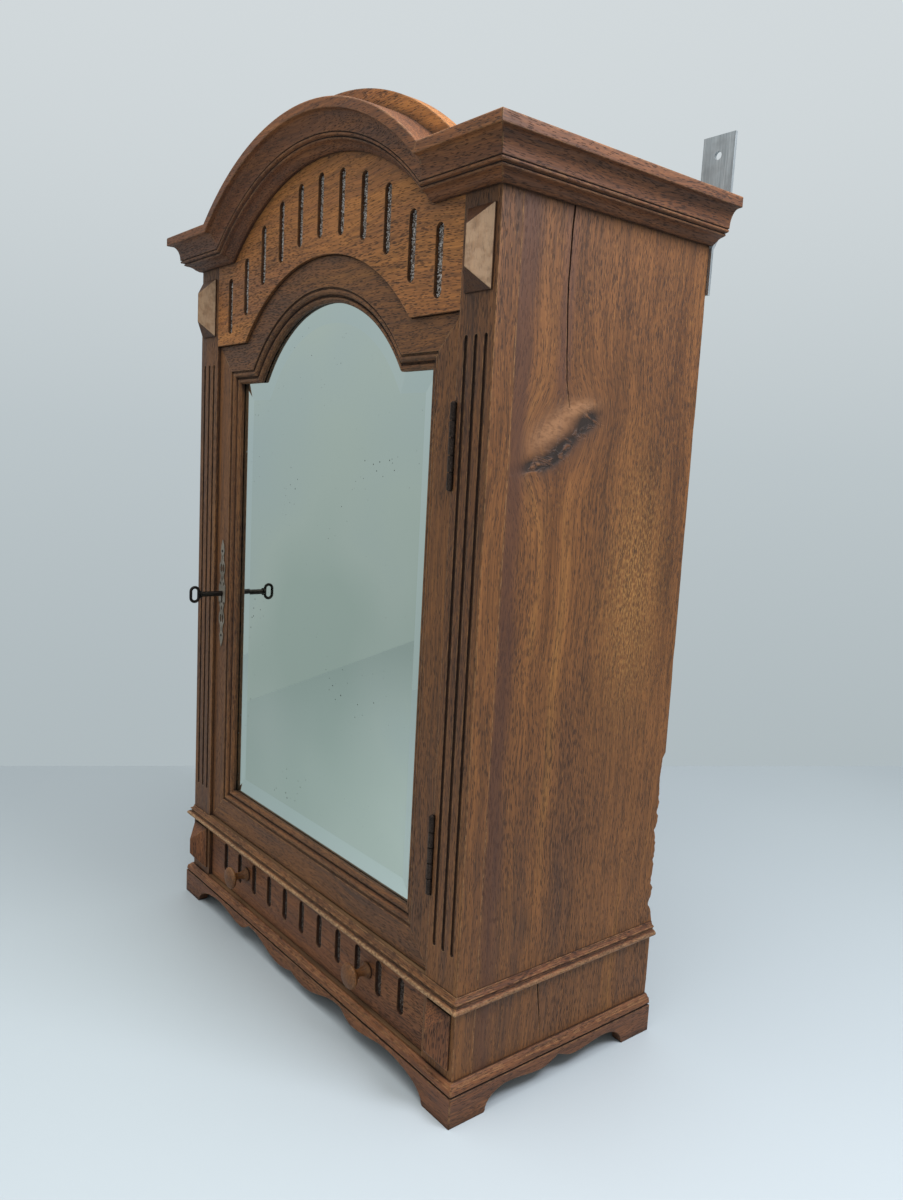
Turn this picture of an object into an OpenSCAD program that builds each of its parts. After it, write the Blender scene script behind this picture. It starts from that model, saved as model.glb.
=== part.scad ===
// Small carved walnut armoire for jewellery: arched mirror door, one drawer, bracket plinth.
// Right-handed frame: +X to the right, +Y to the back, +Z up, origin under the middle on the floor.

/* [Case] */
// Width of the case over the posts
body_w = 380; // [340:2:460]
// Depth of the case from the post faces to the back
body_d = 181; // [160:1:220]
// Height of the underside of the cornice
cornice_z = 550.4; // [540:0.2:600]
// Width of each fluted front post
post_w = 31.3; // [28:0.1:36]
// Thickness of each front post
post_t = 16; // [14:0.5:20]
// Thickness of the side boards
side_t = 10; // [8:0.5:12]
// Thickness of the back boards
back_t = 8; // [5:0.5:10]
// Thickness of the cabinet floor
floor_t = 10; // [7:0.5:12]
// Thickness of the top board
top_t = 10; // [8:0.5:12]
// Thickness of the shelves
shelf_t = 6; // [4:0.5:8]

/* [Plinth] */
// Height of the bracket plinth
plinth_h = 19.6; // [17:0.2:30]
// How far the plinth stands proud of the case
plinth_proud = 4.9; // [3:0.1:7]
// Thickness of the plinth boards
plinth_t = 8; // [6:0.5:10]
// Width of each front foot at the floor
front_foot_w = 26.9; // [22:0.1:32]
// Width of each side foot at the floor
side_foot_w = 28.4; // [22:0.1:32]
// Height of the moulding above the plinth
base_mould_h = 7.2; // [6:0.2:9]
// Thickness of the board under the drawer
bottom_t = 7.4; // [6:0.2:9]

/* [Drawer] */
// Height of the drawer opening
drawer_open_h = 45.4; // [42:0.2:60]
// Gap between the drawer and the back boards
drawer_back_gap = 12; // [6:0.5:40]
// How far the drawer face lies behind the post faces
drawer_set = 3; // [0.5:0.1:4]
// Thickness of the drawer front
drawer_front_t = 10; // [8:0.5:12]
// Thickness of the drawer sides and back
drawer_side_t = 6; // [4:0.5:8]
// Diameter of the knob heads
knob_d = 17.8; // [14:0.2:20]
// Distance of each knob from the middle
knob_x = 91; // [60:1:120]
/* [Door] */
// Height of the square shoulders of the door opening
ear_z = 487.5; // [470:0.5:492]
// Half the width of the arch above the shoulders
door_arch_half = 109.7; // [95:0.1:118]
// Rise of the arch above the shoulders
door_arch_rise = 51; // [40:0.5:54]
// How far the door face lies behind the post faces
door_set = 2.5; // [1:0.1:4]
// Thickness of the door
door_t = 17; // [16:0.5:20]
// Width of the flat of the door frame
flat_w = 20.6; // [18:0.1:24]
// Width of the moulding round the mirror
mould_w = 9.7; // [8:0.1:11]
// Thickness of the mirror glass
glass_t = 3; // [2:0.5:4]
// Thickness of the board behind the mirror
backing_t = 3; // [2:0.5:4]
// Clearance round the door and the drawer front
front_gap = 0.5; // [0.4:0.1:1]

/* [Pediment] */
// Height of the cornice moulding
cornice_h = 27; // [24:0.2:32]
// Overhang of the cornice moulding
cornice_over = 22.8; // [18:0.2:26]
// Half the width of the cornice arch at the cornice top
arch_half = 140.4; // [125:0.1:148]
// Rise of the cornice arch above the cornice top
arch_rise = 52.4; // [45:0.1:58]
// Height of the fluted board above the cornice arch
rim_h = 10; // [6:0.5:14]
// Thickness of the fluted board
frieze_t = 10; // [8:0.5:12]

/* [Ornament] */
// Number of flutes on the fluted board and on the drawer
flute_n = 11; // [7:2:11]
// Width of a flute
flute_w = 7.2; // [5:0.1:8.4]
// Length of the flutes on the fluted board
flute_len = 43; // [34:0.5:46]
// Length of the flutes on the drawer
drawer_flute_len = 25.5; // [20:0.5:28]
// Width of the hipped corner blocks
block_w = 23.3; // [18:0.1:26]
// Height of the hip of the corner blocks
block_h = 10; // [7:0.1:12]

/* [Ironwork] */
// Length of each hinge
hinge_len = 50; // [44:1:60]
// Height of the middle of the upper hinge
upper_hinge_z = 410.5; // [360:0.5:425]
// Height of the middle of the lower hinge
lower_hinge_z = 161.5; // [140:0.5:220]
// Height of the key above the floor
key_z = 282.8; // [240:0.2:340]
// Reach of the key in front of the post faces
key_reach = 27; // [24:0.1:34]
// Diameter of the key shaft
key_shaft_d = 4.4; // [3.6:0.1:4.6]
// Throw of the lock bolt
bolt_throw = 6; // [4:0.5:7]
// Width of each hanging strap
strap_w = 25; // [20:0.5:30]
// Thickness of each hanging strap
strap_t = 2; // [1.5:0.1:3]
// Inset of the hanging holes from the side of the case
strap_inset = 10.5; // [10:0.5:40]
// Height of the wall screws above the cornice top
strap_rise = 35; // [20:0.5:40]
// Diameter of the wall screw hole in each strap
strap_hole_d = 5.5; // [4:0.1:7]
// How far each strap is cranked back
strap_crank = 14.5; // [5:0.5:18]

/* [Hidden] */
$fn = 64;

walnut = "#8a5f3c";
dark_walnut = "#6b4630";
pale_walnut = "#a98055";
pine = "#c2a878";
iron = "#2a2624";
steel = "#9aa0a2";
patina = "#5f5a50";
silver_glass = "#b9c6c2";

half_w = body_w / 2;
inner_x = half_w - post_w;
panel_x = half_w - side_t;
back_y = body_d - back_t;
base_top = plinth_h + bottom_t;
floor_z = base_top + drawer_open_h;
cabinet_z = floor_z + floor_t;
cornice_top = cornice_z + cornice_h;
top_z = cornice_top - top_t;
strap_back = body_d + strap_crank + strap_t;
front_y = (key_reach - strap_back) / 2;
plinth_x = half_w + plinth_proud;

// Cornice arch
arch_r = (arch_half * arch_half + arch_rise * arch_rise) / (2 * arch_rise);
arch_cz = cornice_top + arch_rise - arch_r;
arch_in_r = arch_r - cornice_h;
arch_in_x = sqrt(pow(arch_in_r, 2) - pow(cornice_z - arch_cz, 2));

// Door opening and door
door_arch_r = (pow(door_arch_half, 2) + pow(door_arch_rise, 2)) / (2 * door_arch_rise);
door_cz = ear_z + door_arch_rise - door_arch_r;
door_x = inner_x - front_gap;
door_z0 = cabinet_z + front_gap + 0.3;
door_z1 = ear_z - front_gap;
door_r = door_arch_r - front_gap;
door_back = door_set + door_t;
frame_w = flat_w + mould_w;
mould_depth = 4.7;
glass_set = 7.3;
rebate = 5;
rebate_gap = 0.5;
glass_y = door_set + glass_set;

// Waist moulding
waist_h = floor_t;
waist_z = cabinet_z - waist_h;
waist_over = 5.2;

// Hinges
knuckle_n = 5;
barrel_r = 2;
pin_r = 0.9;
running_gap = 0.05;
knuckle_gap = 0.3;
leaf_t = 1.2;
leaf_reach = 13;
hinge_x = inner_x - front_gap / 2;
hinge_y = -0.6;
hinge_zs = [upper_hinge_z, lower_hinge_z];
hinge_screw_r = 1.3;
hinge_screw_y = 8;
hinge_screw_dz = hinge_len * 0.3;

// Lock and key
lock_x = -(door_x - 11.7);
lock_y = door_back - 10;
lock_wall = 1;
lock_x0 = -(door_x - 1);
lock_x1 = -(door_x - frame_w + rebate + 1.2);
lock_z0 = key_z - 12;
lock_z1 = key_z + 17;
bit_r = 6;
bit_y0 = lock_y + 2.4;
bolt_z0 = key_z + bit_r + 1.6;
bolt_h = 6;
bolt_y0 = lock_y + 2.5;
bolt_t = 3;
bolt_gap = 0.3;
keyhole_r = key_shaft_d / 2 + 0.4;
keyway_w = 2.6;
plate_t = 0.8;
plate_half = 45.5;

// Flutes and grooves
frieze_pitch = 27.3;
drawer_pitch = 26;
flute_depth = 2.6;
groove_w = 3;
groove_depth = 1.6;
groove_pitch = 8.7;
groove_z0 = cabinet_z + 23;
groove_z1 = ear_z - 14.5;

// A board given by its low and high corners
module board(lo, hi) {
    translate(lo) cube(hi - lo);
}

// Moves a piece from the post faces to the part's own origin
module in_frame() {
    translate([0, front_y, 0]) children();
}

// A flat outline in X and Z, thick from y0 to y1
module facing(y0, y1) {
    translate([0, y1, 0]) rotate([90, 0, 0]) linear_extrude(height = y1 - y0) children();
}

// A flat outline in Y and Z, thick from x0 to x1
module flank(x0, x1) {
    translate([x0, 0, 0]) rotate([90, 0, 90]) linear_extrude(height = x1 - x0) children();
}

// Turns a profile of radius and height above the face about an axis along Y
module turned_arch(cz) {
    translate([0, 0, cz]) rotate([90, 0, 0]) rotate_extrude($fn = 180) children();
}

function swell(x0, z0, x1, z1, n = 8) =
    [for (i = [0 : n - 1]) [x0 + (x1 - x0) * i / n, z0 + (z1 - z0) * (1 - cos(180 * i / n)) / 2]];

function settle(x0, z0, x1, z1, n = 6) =
    [for (i = [0 : n - 1]) [x0 + (x1 - x0) * i / n, z0 + (z1 - z0) * sin(90 * i / n)]];

function quadrant(x0, z0, x1, z1, n = 8) =
    [for (i = [0 : n]) [x0 + (x1 - x0) * sin(90 * i / n), z1 + (z0 - z1) * cos(90 * i / n)]];

function hollow(o0, h0, o1, h1, n = 7) =
    [for (i = [0 : n]) [o0 + (o1 - o0) * (1 - cos(90 * i / n)), h0 + (h1 - h0) * sin(90 * i / n)]];

function bead(o, h0, h1, bulge, n = 6) =
    [for (i = [0 : n]) [o + bulge * sin(180 * i / n), (h0 + h1) / 2 - (h1 - h0) / 2 * cos(180 * i / n)]];

// Cornice profile: overhang and height, from the case face upwards
cornice_profile = concat(
    [[0, 0], [0.1 * cornice_over, 0], [0.2 * cornice_over, 0.045 * cornice_h]],
    [[0.28 * cornice_over, 0.105 * cornice_h], [0.36 * cornice_over, 0.14 * cornice_h]],
    [[0.45 * cornice_over, 0.158 * cornice_h]],
    bead(0.48 * cornice_over, 0.168 * cornice_h, 0.226 * cornice_h, 1),
    bead(0.57 * cornice_over, 0.244 * cornice_h, 0.315 * cornice_h, 1.2),
    hollow(0.63 * cornice_over, 0.33 * cornice_h, 0.89 * cornice_over, 0.748 * cornice_h, 10),
    [[cornice_over, 0.758 * cornice_h], [cornice_over, cornice_h - 0.6]],
    [[cornice_over - 0.6, cornice_h], [0, cornice_h]]
);

// Waist profile: nose below, groove and thin bead above
waist_profile = concat(
    [[0, 0], [waist_over * 0.45, 0]],
    bead(waist_over * 0.45, 0.1, waist_h * 0.44, waist_over * 0.55, 8),
    [[waist_over * 0.42, waist_h * 0.5], [waist_over * 0.4, waist_h * 0.56]],
    bead(waist_over * 0.46, waist_h * 0.6, waist_h * 0.72, waist_over * 0.12),
    [[waist_over * 0.3, waist_h * 0.76], [waist_over * 0.16, waist_h * 0.86]],
    [[waist_over * 0.1, waist_h], [0, waist_h]]
);

// Base profile: groove over the plinth, sloping band, quirk
base_profile = [
    [0, 0], [plinth_proud - 1.6, 0], [plinth_proud - 1.6, 0.8], [plinth_proud - 0.3, 1.3],
    [plinth_proud - 0.5, base_mould_h * 0.42], [plinth_proud - 1.1, base_mould_h * 0.7],
    [plinth_proud - 2.2, base_mould_h * 0.74], [plinth_proud - 2.4, base_mould_h * 0.84],
    [plinth_proud - 3.6, base_mould_h], [0, base_mould_h]
];

// Door profile: distance in from the outer edge, and depth behind the face
door_profile = [
    [0, 0], [flat_w, 0], [flat_w + 0.2, 1.4], [flat_w + 0.9, 1.5],
    [flat_w + 1.5, 0.9], [flat_w + 2.6, 0.6], [flat_w + 3.7, 1.0], [flat_w + 4.5, 1.9],
    [flat_w + 4.9, 3.0], [flat_w + 5.1, 4.0], [flat_w + 6.0, 4.1], [flat_w + 6.2, 3.2],
    [flat_w + 7.0, 2.7], [flat_w + 8.0, 2.8], [flat_w + 8.9, 3.4], [flat_w + 9.4, mould_depth - 0.4],
    [frame_w, mould_depth], [frame_w, glass_set],
    [frame_w - rebate, glass_set], [frame_w - rebate, door_t], [0, door_t]
];

// Keeps the front run of a mitred frame whose outer face is at half_w + over
module mitred_front(over) {
    intersection() {
        children();
        linear_extrude(height = cornice_top + 1)
            polygon([
                [-half_w - over, -over], [half_w + over, -over],
                [half_w - plinth_t, plinth_t], [-half_w + plinth_t, plinth_t]
            ]);
    }
}

// Keeps the right-hand run of the same frame
module mitred_side(over) {
    intersection() {
        children();
        linear_extrude(height = cornice_top + 1)
            polygon([
                [half_w + over, -over], [half_w + over, body_d],
                [half_w - plinth_t, body_d], [half_w - plinth_t, plinth_t]
            ]);
    }
}

module moulding_front(profile, over, z0) {
    mitred_front(over)
        flank(-half_w - over, half_w + over)
            polygon([for (p = profile) [-p[0], z0 + p[1]]]);
}

module moulding_side(profile, over, z0) {
    mitred_side(over)
        facing(-over, body_d)
            polygon([for (p = profile) [half_w + p[0], z0 + p[1]]]);
}

module on_left() {
    mirror([1, 0, 0]) children();
}

// A round-ended slot in the X and Z plane
module slot_outline(w, len) {
    translate([-w / 2, -(len - w) / 2]) square([w, len - w]);
    translate([0, (len - w) / 2]) circle(d = w, $fn = 24);
    translate([0, -(len - w) / 2]) circle(d = w, $fn = 24);
}

// Clearance for the knuckles of both hinges
module barrel_relief(r) {
    for (z = hinge_zs)
        translate([hinge_x, hinge_y, z - hinge_len / 2 - 1])
            cylinder(r = r, h = hinge_len + 2);
}

module post_body() {
    difference() {
        board([inner_x, 0, plinth_h], [half_w, post_t, top_z]);
        for (i = [-1 : 1])
            facing(-1, groove_depth)
                translate([inner_x + post_w / 2 + i * groove_pitch, (groove_z0 + groove_z1) / 2])
                    slot_outline(groove_w, groove_z1 - groove_z0);
    }
}

module right_post() {
    color(walnut) in_frame() difference() {
        post_body();
        barrel_relief(barrel_r + 0.3);
        for (z = hinge_zs)
            board([inner_x - 1, -1, z - hinge_len / 2], [inner_x + leaf_t, leaf_reach, z + hinge_len / 2]);
    }
}

module left_post() {
    color(walnut) in_frame() difference() {
        on_left() post_body();
        board([-inner_x - lock_wall, bolt_y0 - 4.3, bolt_z0 - 6], [-inner_x + 1, bolt_y0 + bolt_t + 0.8, bolt_z0 + bolt_h + 6]);
        board(
            [-inner_x - bolt_throw - 2, bolt_y0 - bolt_gap, bolt_z0 - bolt_gap],
            [-inner_x + 1, bolt_y0 + bolt_t + bolt_gap, bolt_z0 + bolt_h + bolt_gap]
        );
    }
}

module side_panel_body() {
    board([panel_x, post_t, plinth_h], [half_w, body_d, top_z]);
}

module right_side_panel() {
    color(walnut) in_frame() side_panel_body();
}

module left_side_panel() {
    color(walnut) in_frame() on_left() side_panel_body();
}

module back_boards() {
    joint = 0.2;
    board_w = 2 * panel_x / 3;
    color(pine) in_frame()
        for (i = [0 : 2])
            board(
                [-panel_x + i * board_w + (i > 0 ? joint : 0), back_y, plinth_h],
                [-panel_x + (i + 1) * board_w, body_d, top_z]
            );
}

// A board that fills the case behind and between the posts
module case_board(z0, z1, y1) {
    translate([0, 0, z0]) linear_extrude(height = z1 - z0)
        polygon([
            [-inner_x, 0], [inner_x, 0], [inner_x, post_t], [panel_x, post_t],
            [panel_x, y1], [-panel_x, y1], [-panel_x, post_t], [-inner_x, post_t]
        ]);
}

module bottom_board() {
    color(pine) in_frame() case_board(plinth_h, base_top, back_y);
}

module cabinet_floor() {
    color(walnut) in_frame() case_board(floor_z, cabinet_z, back_y);
}

module top_board() {
    color(dark_walnut) in_frame() difference() {
        board([-half_w, 0, top_z], [half_w, body_d, cornice_top]);
        board([-inner_x, -1, top_z - 1], [inner_x, frieze_t, cornice_top + 1]);
    }
}

module frieze_board() {
    mid_r = arch_in_r - 31.1;
    end_z = cornice_z - 11.4 - flute_len / 2;
    color(walnut) in_frame() difference() {
        facing(0, frieze_t) difference() {
            union() {
                translate([-inner_x, ear_z]) square([2 * inner_x, cornice_top - ear_z]);
                intersection() {
                    translate([0, arch_cz]) circle(r = arch_r + rim_h, $fn = 180);
                    translate([-inner_x, cornice_z]) square([2 * inner_x, arch_rise + rim_h + cornice_h]);
                }
            }
            translate([0, door_cz]) circle(r = door_arch_r, $fn = 180);
        }
        for (i = [0 : flute_n - 1]) {
            x = (i - (flute_n - 1) / 2) * frieze_pitch;
            z = max(arch_cz + sqrt(pow(mid_r, 2) - 0.955 * pow(x, 2)), end_z);
            facing(-1, flute_depth) translate([x, z]) slot_outline(flute_w, flute_len);
        }
    }
}

// The part of the front between the two mitres of the cornice arch
module arch_region(side) {
    reach = 400;
    dx = arch_half - arch_in_x;
    far_x = arch_in_x + dx * reach / cornice_h;
    facing(-cornice_over - 1, 1)
        polygon(
            side == "arch"
            ? [[-arch_in_x, cornice_z], [arch_in_x, cornice_z], [far_x, cornice_z + reach],
               [-far_x, cornice_z + reach]]
            : [[arch_in_x, cornice_z], [body_w, cornice_z], [body_w, cornice_top],
               [arch_half, cornice_top]]
        );
}

module cornice_arch() {
    color(walnut) in_frame() intersection() {
        turned_arch(arch_cz) polygon([for (p = cornice_profile) [arch_in_r + p[1], p[0]]]);
        arch_region("arch");
    }
}

module cornice_front_body() {
    intersection() {
        moulding_front(cornice_profile, cornice_over, cornice_z);
        arch_region("straight");
    }
}

module cornice_front_right() {
    color(walnut) in_frame() cornice_front_body();
}

module cornice_front_left() {
    color(walnut) in_frame() on_left() cornice_front_body();
}

module cornice_return_right() {
    color(walnut) in_frame() moulding_side(cornice_profile, cornice_over, cornice_z);
}

module cornice_return_left() {
    color(walnut) in_frame() on_left() moulding_side(cornice_profile, cornice_over, cornice_z);
}

module waist_moulding_front() {
    color(pale_walnut) in_frame() moulding_front(waist_profile, waist_over, waist_z);
}

module waist_moulding_right() {
    color(walnut) in_frame() moulding_side(waist_profile, waist_over, waist_z);
}

module waist_moulding_left() {
    color(walnut) in_frame() on_left() moulding_side(waist_profile, waist_over, waist_z);
}

module base_moulding_front() {
    color(dark_walnut) in_frame() moulding_front(base_profile, plinth_proud, plinth_h);
}

module base_moulding_right() {
    color(dark_walnut) in_frame() moulding_side(base_profile, plinth_proud, plinth_h);
}

module base_moulding_left() {
    color(dark_walnut) in_frame() on_left() moulding_side(base_profile, plinth_proud, plinth_h);
}

// Half of the scalloped lower edge of the front plinth, from the middle to the foot
function front_scallops(foot) = concat(
    settle(0, 11.4, 0.119 * foot, 7.9),
    swell(0.119 * foot, 7.9, 0.393 * foot, 17.6),
    settle(0.42 * foot, 17.4, 0.512 * foot, 10.9),
    swell(0.512 * foot, 10.9, 0.756 * foot, 16.2),
    quadrant(0.756 * foot, 16.2, foot - 1, 1.2),
    [[foot, 0]]
);

// Half of the scalloped lower edge of a side plinth
function side_scallops(foot) = concat(
    settle(0, 15.8, 0.25 * foot, 10.7),
    swell(0.25 * foot, 10.7, 0.69 * foot, 13.6),
    quadrant(0.69 * foot, 13.6, foot - 0.7, 1.2),
    [[foot, 0]]
);

// A plinth board outline: half length to the outer end, scallops given for one half
module plinth_outline(half_len, scallops) {
    n = len(scallops);
    polygon(concat(
        [[-half_len, plinth_h], [-half_len, 0]],
        [for (i = [n - 1 : -1 : 1]) [-scallops[i][0], scallops[i][1]]],
        scallops,
        [[half_len, 0], [half_len, plinth_h]]
    ));
}

module front_apron() {
    color(walnut) in_frame() mitred_front(plinth_proud)
        facing(-plinth_proud, plinth_t - plinth_proud)
            plinth_outline(plinth_x, front_scallops(plinth_x - front_foot_w));
}

module side_apron_body() {
    half_len = (body_d + plinth_proud) / 2;
    mitred_side(plinth_proud)
        flank(plinth_x - plinth_t, plinth_x)
            translate([half_len - plinth_proud, 0])
                plinth_outline(half_len, side_scallops(half_len - side_foot_w));
}

module right_apron() {
    color(walnut) in_frame() side_apron_body();
}

module left_apron() {
    color(walnut) in_frame() on_left() side_apron_body();
}

module corner_glue_blocks() {
    size = 18;
    x1 = plinth_x - plinth_t;
    y0 = plinth_t - plinth_proud;
    color(pine) in_frame()
        for (side = [0, 1], y = [y0, back_y - size])
            mirror([side, 0, 0]) board([x1 - size, y, 3], [x1, y + size, plinth_h]);
}

module drawer_guides() {
    color(pine) in_frame()
        for (side = [0, 1])
            mirror([side, 0, 0])
                board([inner_x - 1, post_t, base_top], [panel_x, back_y, base_top + 10]);
}

shelf_gap = (top_z - cabinet_z) / 3;
shelf_y0 = door_back + 2.5;
cleat_w = 8;

module shelf(z) {
    board([-panel_x, shelf_y0, z], [panel_x, back_y, z + shelf_t]);
}

module lower_shelf() {
    color(walnut) in_frame() shelf(cabinet_z + shelf_gap);
}

module upper_shelf() {
    color(walnut) in_frame() shelf(cabinet_z + 2 * shelf_gap);
}

module shelf_cleats() {
    color(pine) in_frame()
        for (side = [0, 1], i = [1, 2]) {
            z = cabinet_z + i * shelf_gap;
            mirror([side, 0, 0])
                board([panel_x - cleat_w, shelf_y0, z - cleat_w], [panel_x, back_y, z]);
        }
}

// A hipped block with an upright ridge, standing on the right post
module corner_block(z, len) {
    foot = 1.2;
    x = inner_x + post_w / 2;
    ridge = len - block_w;
    intersection() {
        translate([x, 0, z - len / 2]) linear_extrude(height = len)
            polygon([
                [-block_w / 2, 0], [block_w / 2, 0], [block_w / 2, -foot],
                [0, -foot - block_h], [-block_w / 2, -foot]
            ]);
        flank(x - block_w / 2, x + block_w / 2)
            polygon([
                [0, z - len / 2], [-foot, z - len / 2], [-foot - block_h, z - ridge / 2],
                [-foot - block_h, z + ridge / 2], [-foot, z + len / 2], [0, z + len / 2]
            ]);
    }
}

upper_block_len = 45.5;
upper_block_z = (ear_z + cornice_z) / 2 - 0.2;
lower_block_len = min(36.4, drawer_open_h - 8);
lower_block_z = base_top + drawer_open_h / 2 + 1;

module upper_right_block() {
    color(pale_walnut) in_frame() corner_block(upper_block_z, upper_block_len);
}

module upper_left_block() {
    color(pale_walnut) in_frame() on_left() corner_block(upper_block_z, upper_block_len);
}

module lower_right_block() {
    color(walnut) in_frame() corner_block(lower_block_z, lower_block_len);
}

module lower_left_block() {
    color(walnut) in_frame() on_left() corner_block(lower_block_z, lower_block_len);
}

// Hanging straps: a flat bar cranked back over the cornice
strap_x = half_w - strap_inset;
strap_low_z = cornice_z - 31;
strap_screw_x = strap_x - 6;
strap_screw_zs = [strap_low_z + 7, strap_low_z + 22];
strap_screw_r = 1.5;
strap_hole_z = cornice_top + strap_rise;

module strap_body() {
    y1 = body_d + strap_crank;
    bend_z0 = cornice_z - 1.4;
    bend_z1 = cornice_top - 4;
    top = strap_hole_z + 13;
    difference() {
        flank(strap_x - strap_w / 2, strap_x + strap_w / 2)
            polygon([
                [body_d, strap_low_z], [body_d + strap_t, strap_low_z],
                [body_d + strap_t, bend_z0 - 0.8], [y1 + strap_t, bend_z1 - 0.8],
                [y1 + strap_t, top], [y1, top], [y1, bend_z1], [body_d, bend_z0]
            ]);
        translate([strap_x, y1 - 1, strap_hole_z]) rotate([-90, 0, 0])
            cylinder(d = strap_hole_d, h = strap_t + 2);
        for (z = strap_screw_zs)
            translate([strap_screw_x, body_d - 1, z]) rotate([-90, 0, 0])
                cylinder(r = strap_screw_r + 0.1, h = strap_t + 2);
    }
}

module right_hanging_strap() {
    color(steel) in_frame() strap_body();
}

module left_hanging_strap() {
    color(steel) in_frame() on_left() strap_body();
}

module strap_screws() {
    head = 1.5;
    color(steel) in_frame()
        for (side = [-1, 1], z = strap_screw_zs)
            translate([side * strap_screw_x, body_d + strap_t, z]) rotate([90, 0, 0]) {
                translate([0, 0, -head]) cylinder(r1 = strap_screw_r + 0.6, r2 = 3.2, h = head);
                cylinder(r = strap_screw_r, h = strap_t + 6);
            }
}

module strike_plate() {
    color(iron) in_frame() difference() {
        board(
            [-inner_x - lock_wall, bolt_y0 - 4.3, bolt_z0 - 6],
            [-inner_x, bolt_y0 + bolt_t + 0.8, bolt_z0 + bolt_h + 6]
        );
        board(
            [-inner_x - 2, bolt_y0 - bolt_gap, bolt_z0 - bolt_gap],
            [-inner_x + 1, bolt_y0 + bolt_t + bolt_gap, bolt_z0 + bolt_h + bolt_gap]
        );
    }
}

knuckle_len = hinge_len / knuckle_n;

// The knuckles of one leaf: even ones belong to the frame, odd ones to the door
module knuckles(z, first, r, slack) {
    for (i = [first : 2 : knuckle_n - 1])
        translate([hinge_x, hinge_y, z - hinge_len / 2 + i * knuckle_len - slack])
            cylinder(r = r, h = knuckle_len + 2 * slack);
}

// One hinge leaf, with its plate between x0 and x1 and screw heads sunk from x_face
module hinge_leaf(z, first, x0, x1, x_face, way) {
    difference() {
        union() {
            board([x0, hinge_y, z - hinge_len / 2], [x1, leaf_reach, z + hinge_len / 2]);
            knuckles(z, first, barrel_r, 0);
        }
        knuckles(z, 1 - first, barrel_r + knuckle_gap, knuckle_gap);
        translate([hinge_x, hinge_y, z - hinge_len / 2 - 1])
            cylinder(r = pin_r + (first == 1 ? running_gap : 0), h = hinge_len + 2);
        for (dz = [-hinge_screw_dz, hinge_screw_dz])
            translate([x_face, hinge_screw_y, z + dz]) rotate([0, 90 * way, 0]) {
                translate([0, 0, -0.01]) cylinder(r1 = 2.4, r2 = hinge_screw_r, h = 1.01);
                cylinder(r = hinge_screw_r, h = 3);
            }
    }
}

module hinge_frame_leaves() {
    color(iron) in_frame()
        for (z = hinge_zs)
            hinge_leaf(z, 0, inner_x, inner_x + leaf_t, inner_x, 1);
}

module hinge_door_leaves() {
    color(iron) in_frame()
        for (z = hinge_zs)
            hinge_leaf(z, 1, door_x - leaf_t, door_x, door_x, -1);
}

module hinge_pins() {
    cap = 0.8;
    color(iron) in_frame()
        for (z = hinge_zs)
            translate([hinge_x, hinge_y, z - hinge_len / 2]) {
                cylinder(r = pin_r, h = hinge_len);
                translate([0, 0, -cap]) cylinder(r1 = 0.9, r2 = 1.7, h = cap);
                translate([0, 0, hinge_len]) cylinder(r1 = 1.7, r2 = 0.9, h = cap);
            }
}

// Countersunk screws that hold a hinge leaf
module leaf_screws(x_face, way) {
    for (z = hinge_zs, dz = [-hinge_screw_dz, hinge_screw_dz])
        translate([x_face, hinge_screw_y, z + dz]) rotate([0, 90 * way, 0]) {
            cylinder(r1 = 2.3, r2 = hinge_screw_r, h = 1);
            cylinder(r = hinge_screw_r - 0.05, h = 10);
        }
}

module hinge_frame_screws() {
    color(iron) in_frame() leaf_screws(inner_x, 1);
}

module hinge_door_screws() {
    color(iron) in_frame() leaf_screws(door_x, -1);
}

// The stretch of the door frame kept between two mitres, as an outline in X and Z
module door_stretch(points) {
    intersection() {
        children();
        facing(door_set - 1, door_back + 1) polygon(points);
    }
}

// An upright member with its outer edge at +door_x
module stile_body() {
    door_stretch([
        [door_x, door_z0], [door_x, door_z1],
        [door_x - frame_w, door_z1 - frame_w], [door_x - frame_w, door_z0 + frame_w]
    ])
        translate([0, 0, door_z0]) linear_extrude(height = door_z1 - door_z0)
            polygon([for (p = door_profile) [door_x - p[0], door_set + p[1]]]);
}

module door_hinge_stile() {
    color(walnut) in_frame() difference() {
        stile_body();
        barrel_relief(barrel_r + 0.3);
        for (z = hinge_zs)
            board([door_x - leaf_t, -1, z - hinge_len / 2], [door_x + 1, leaf_reach, z + hinge_len / 2]);
    }
}

module keyhole(y0, y1) {
    facing(y0, y1) {
        translate([lock_x, key_z]) circle(r = keyhole_r, $fn = 32);
        translate([lock_x - keyway_w / 2, key_z - bit_r - 0.6]) square([keyway_w, bit_r]);
    }
}

module door_lock_stile() {
    color(walnut) in_frame() difference() {
        on_left() stile_body();
        board([lock_x0, lock_y, lock_z0], [lock_x1, door_back + 1, lock_z1]);
        board(
            [-door_x - 1, bolt_y0 - bolt_gap, bolt_z0 - bolt_gap],
            [lock_x0 + 1, bolt_y0 + bolt_t + bolt_gap, bolt_z0 + bolt_h + bolt_gap]
        );
        keyhole(door_set - 1, lock_y + 1);
    }
}

module door_bottom_rail() {
    color(walnut) in_frame()
        door_stretch([
            [-door_x, door_z0], [door_x, door_z0],
            [door_x - frame_w, door_z0 + frame_w], [-door_x + frame_w, door_z0 + frame_w]
        ])
            flank(-door_x, door_x)
                polygon([for (p = door_profile) [door_set + p[1], door_z0 + p[0]]]);
}

// Where the shoulder and the arch of the door meet, at a distance in from the edge
function shoulder_x(inset) = sqrt(pow(door_r - inset, 2) - pow(door_z1 - inset - door_cz, 2));

// Section of the wood taken away in front of the door moulding
mould_cut = concat(
    [[flat_w, -1]],
    [for (p = door_profile) if (p[0] >= flat_w && p[1] <= mould_depth) p],
    [[frame_w + 1, mould_depth], [frame_w + 1, -1]]
);

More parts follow.
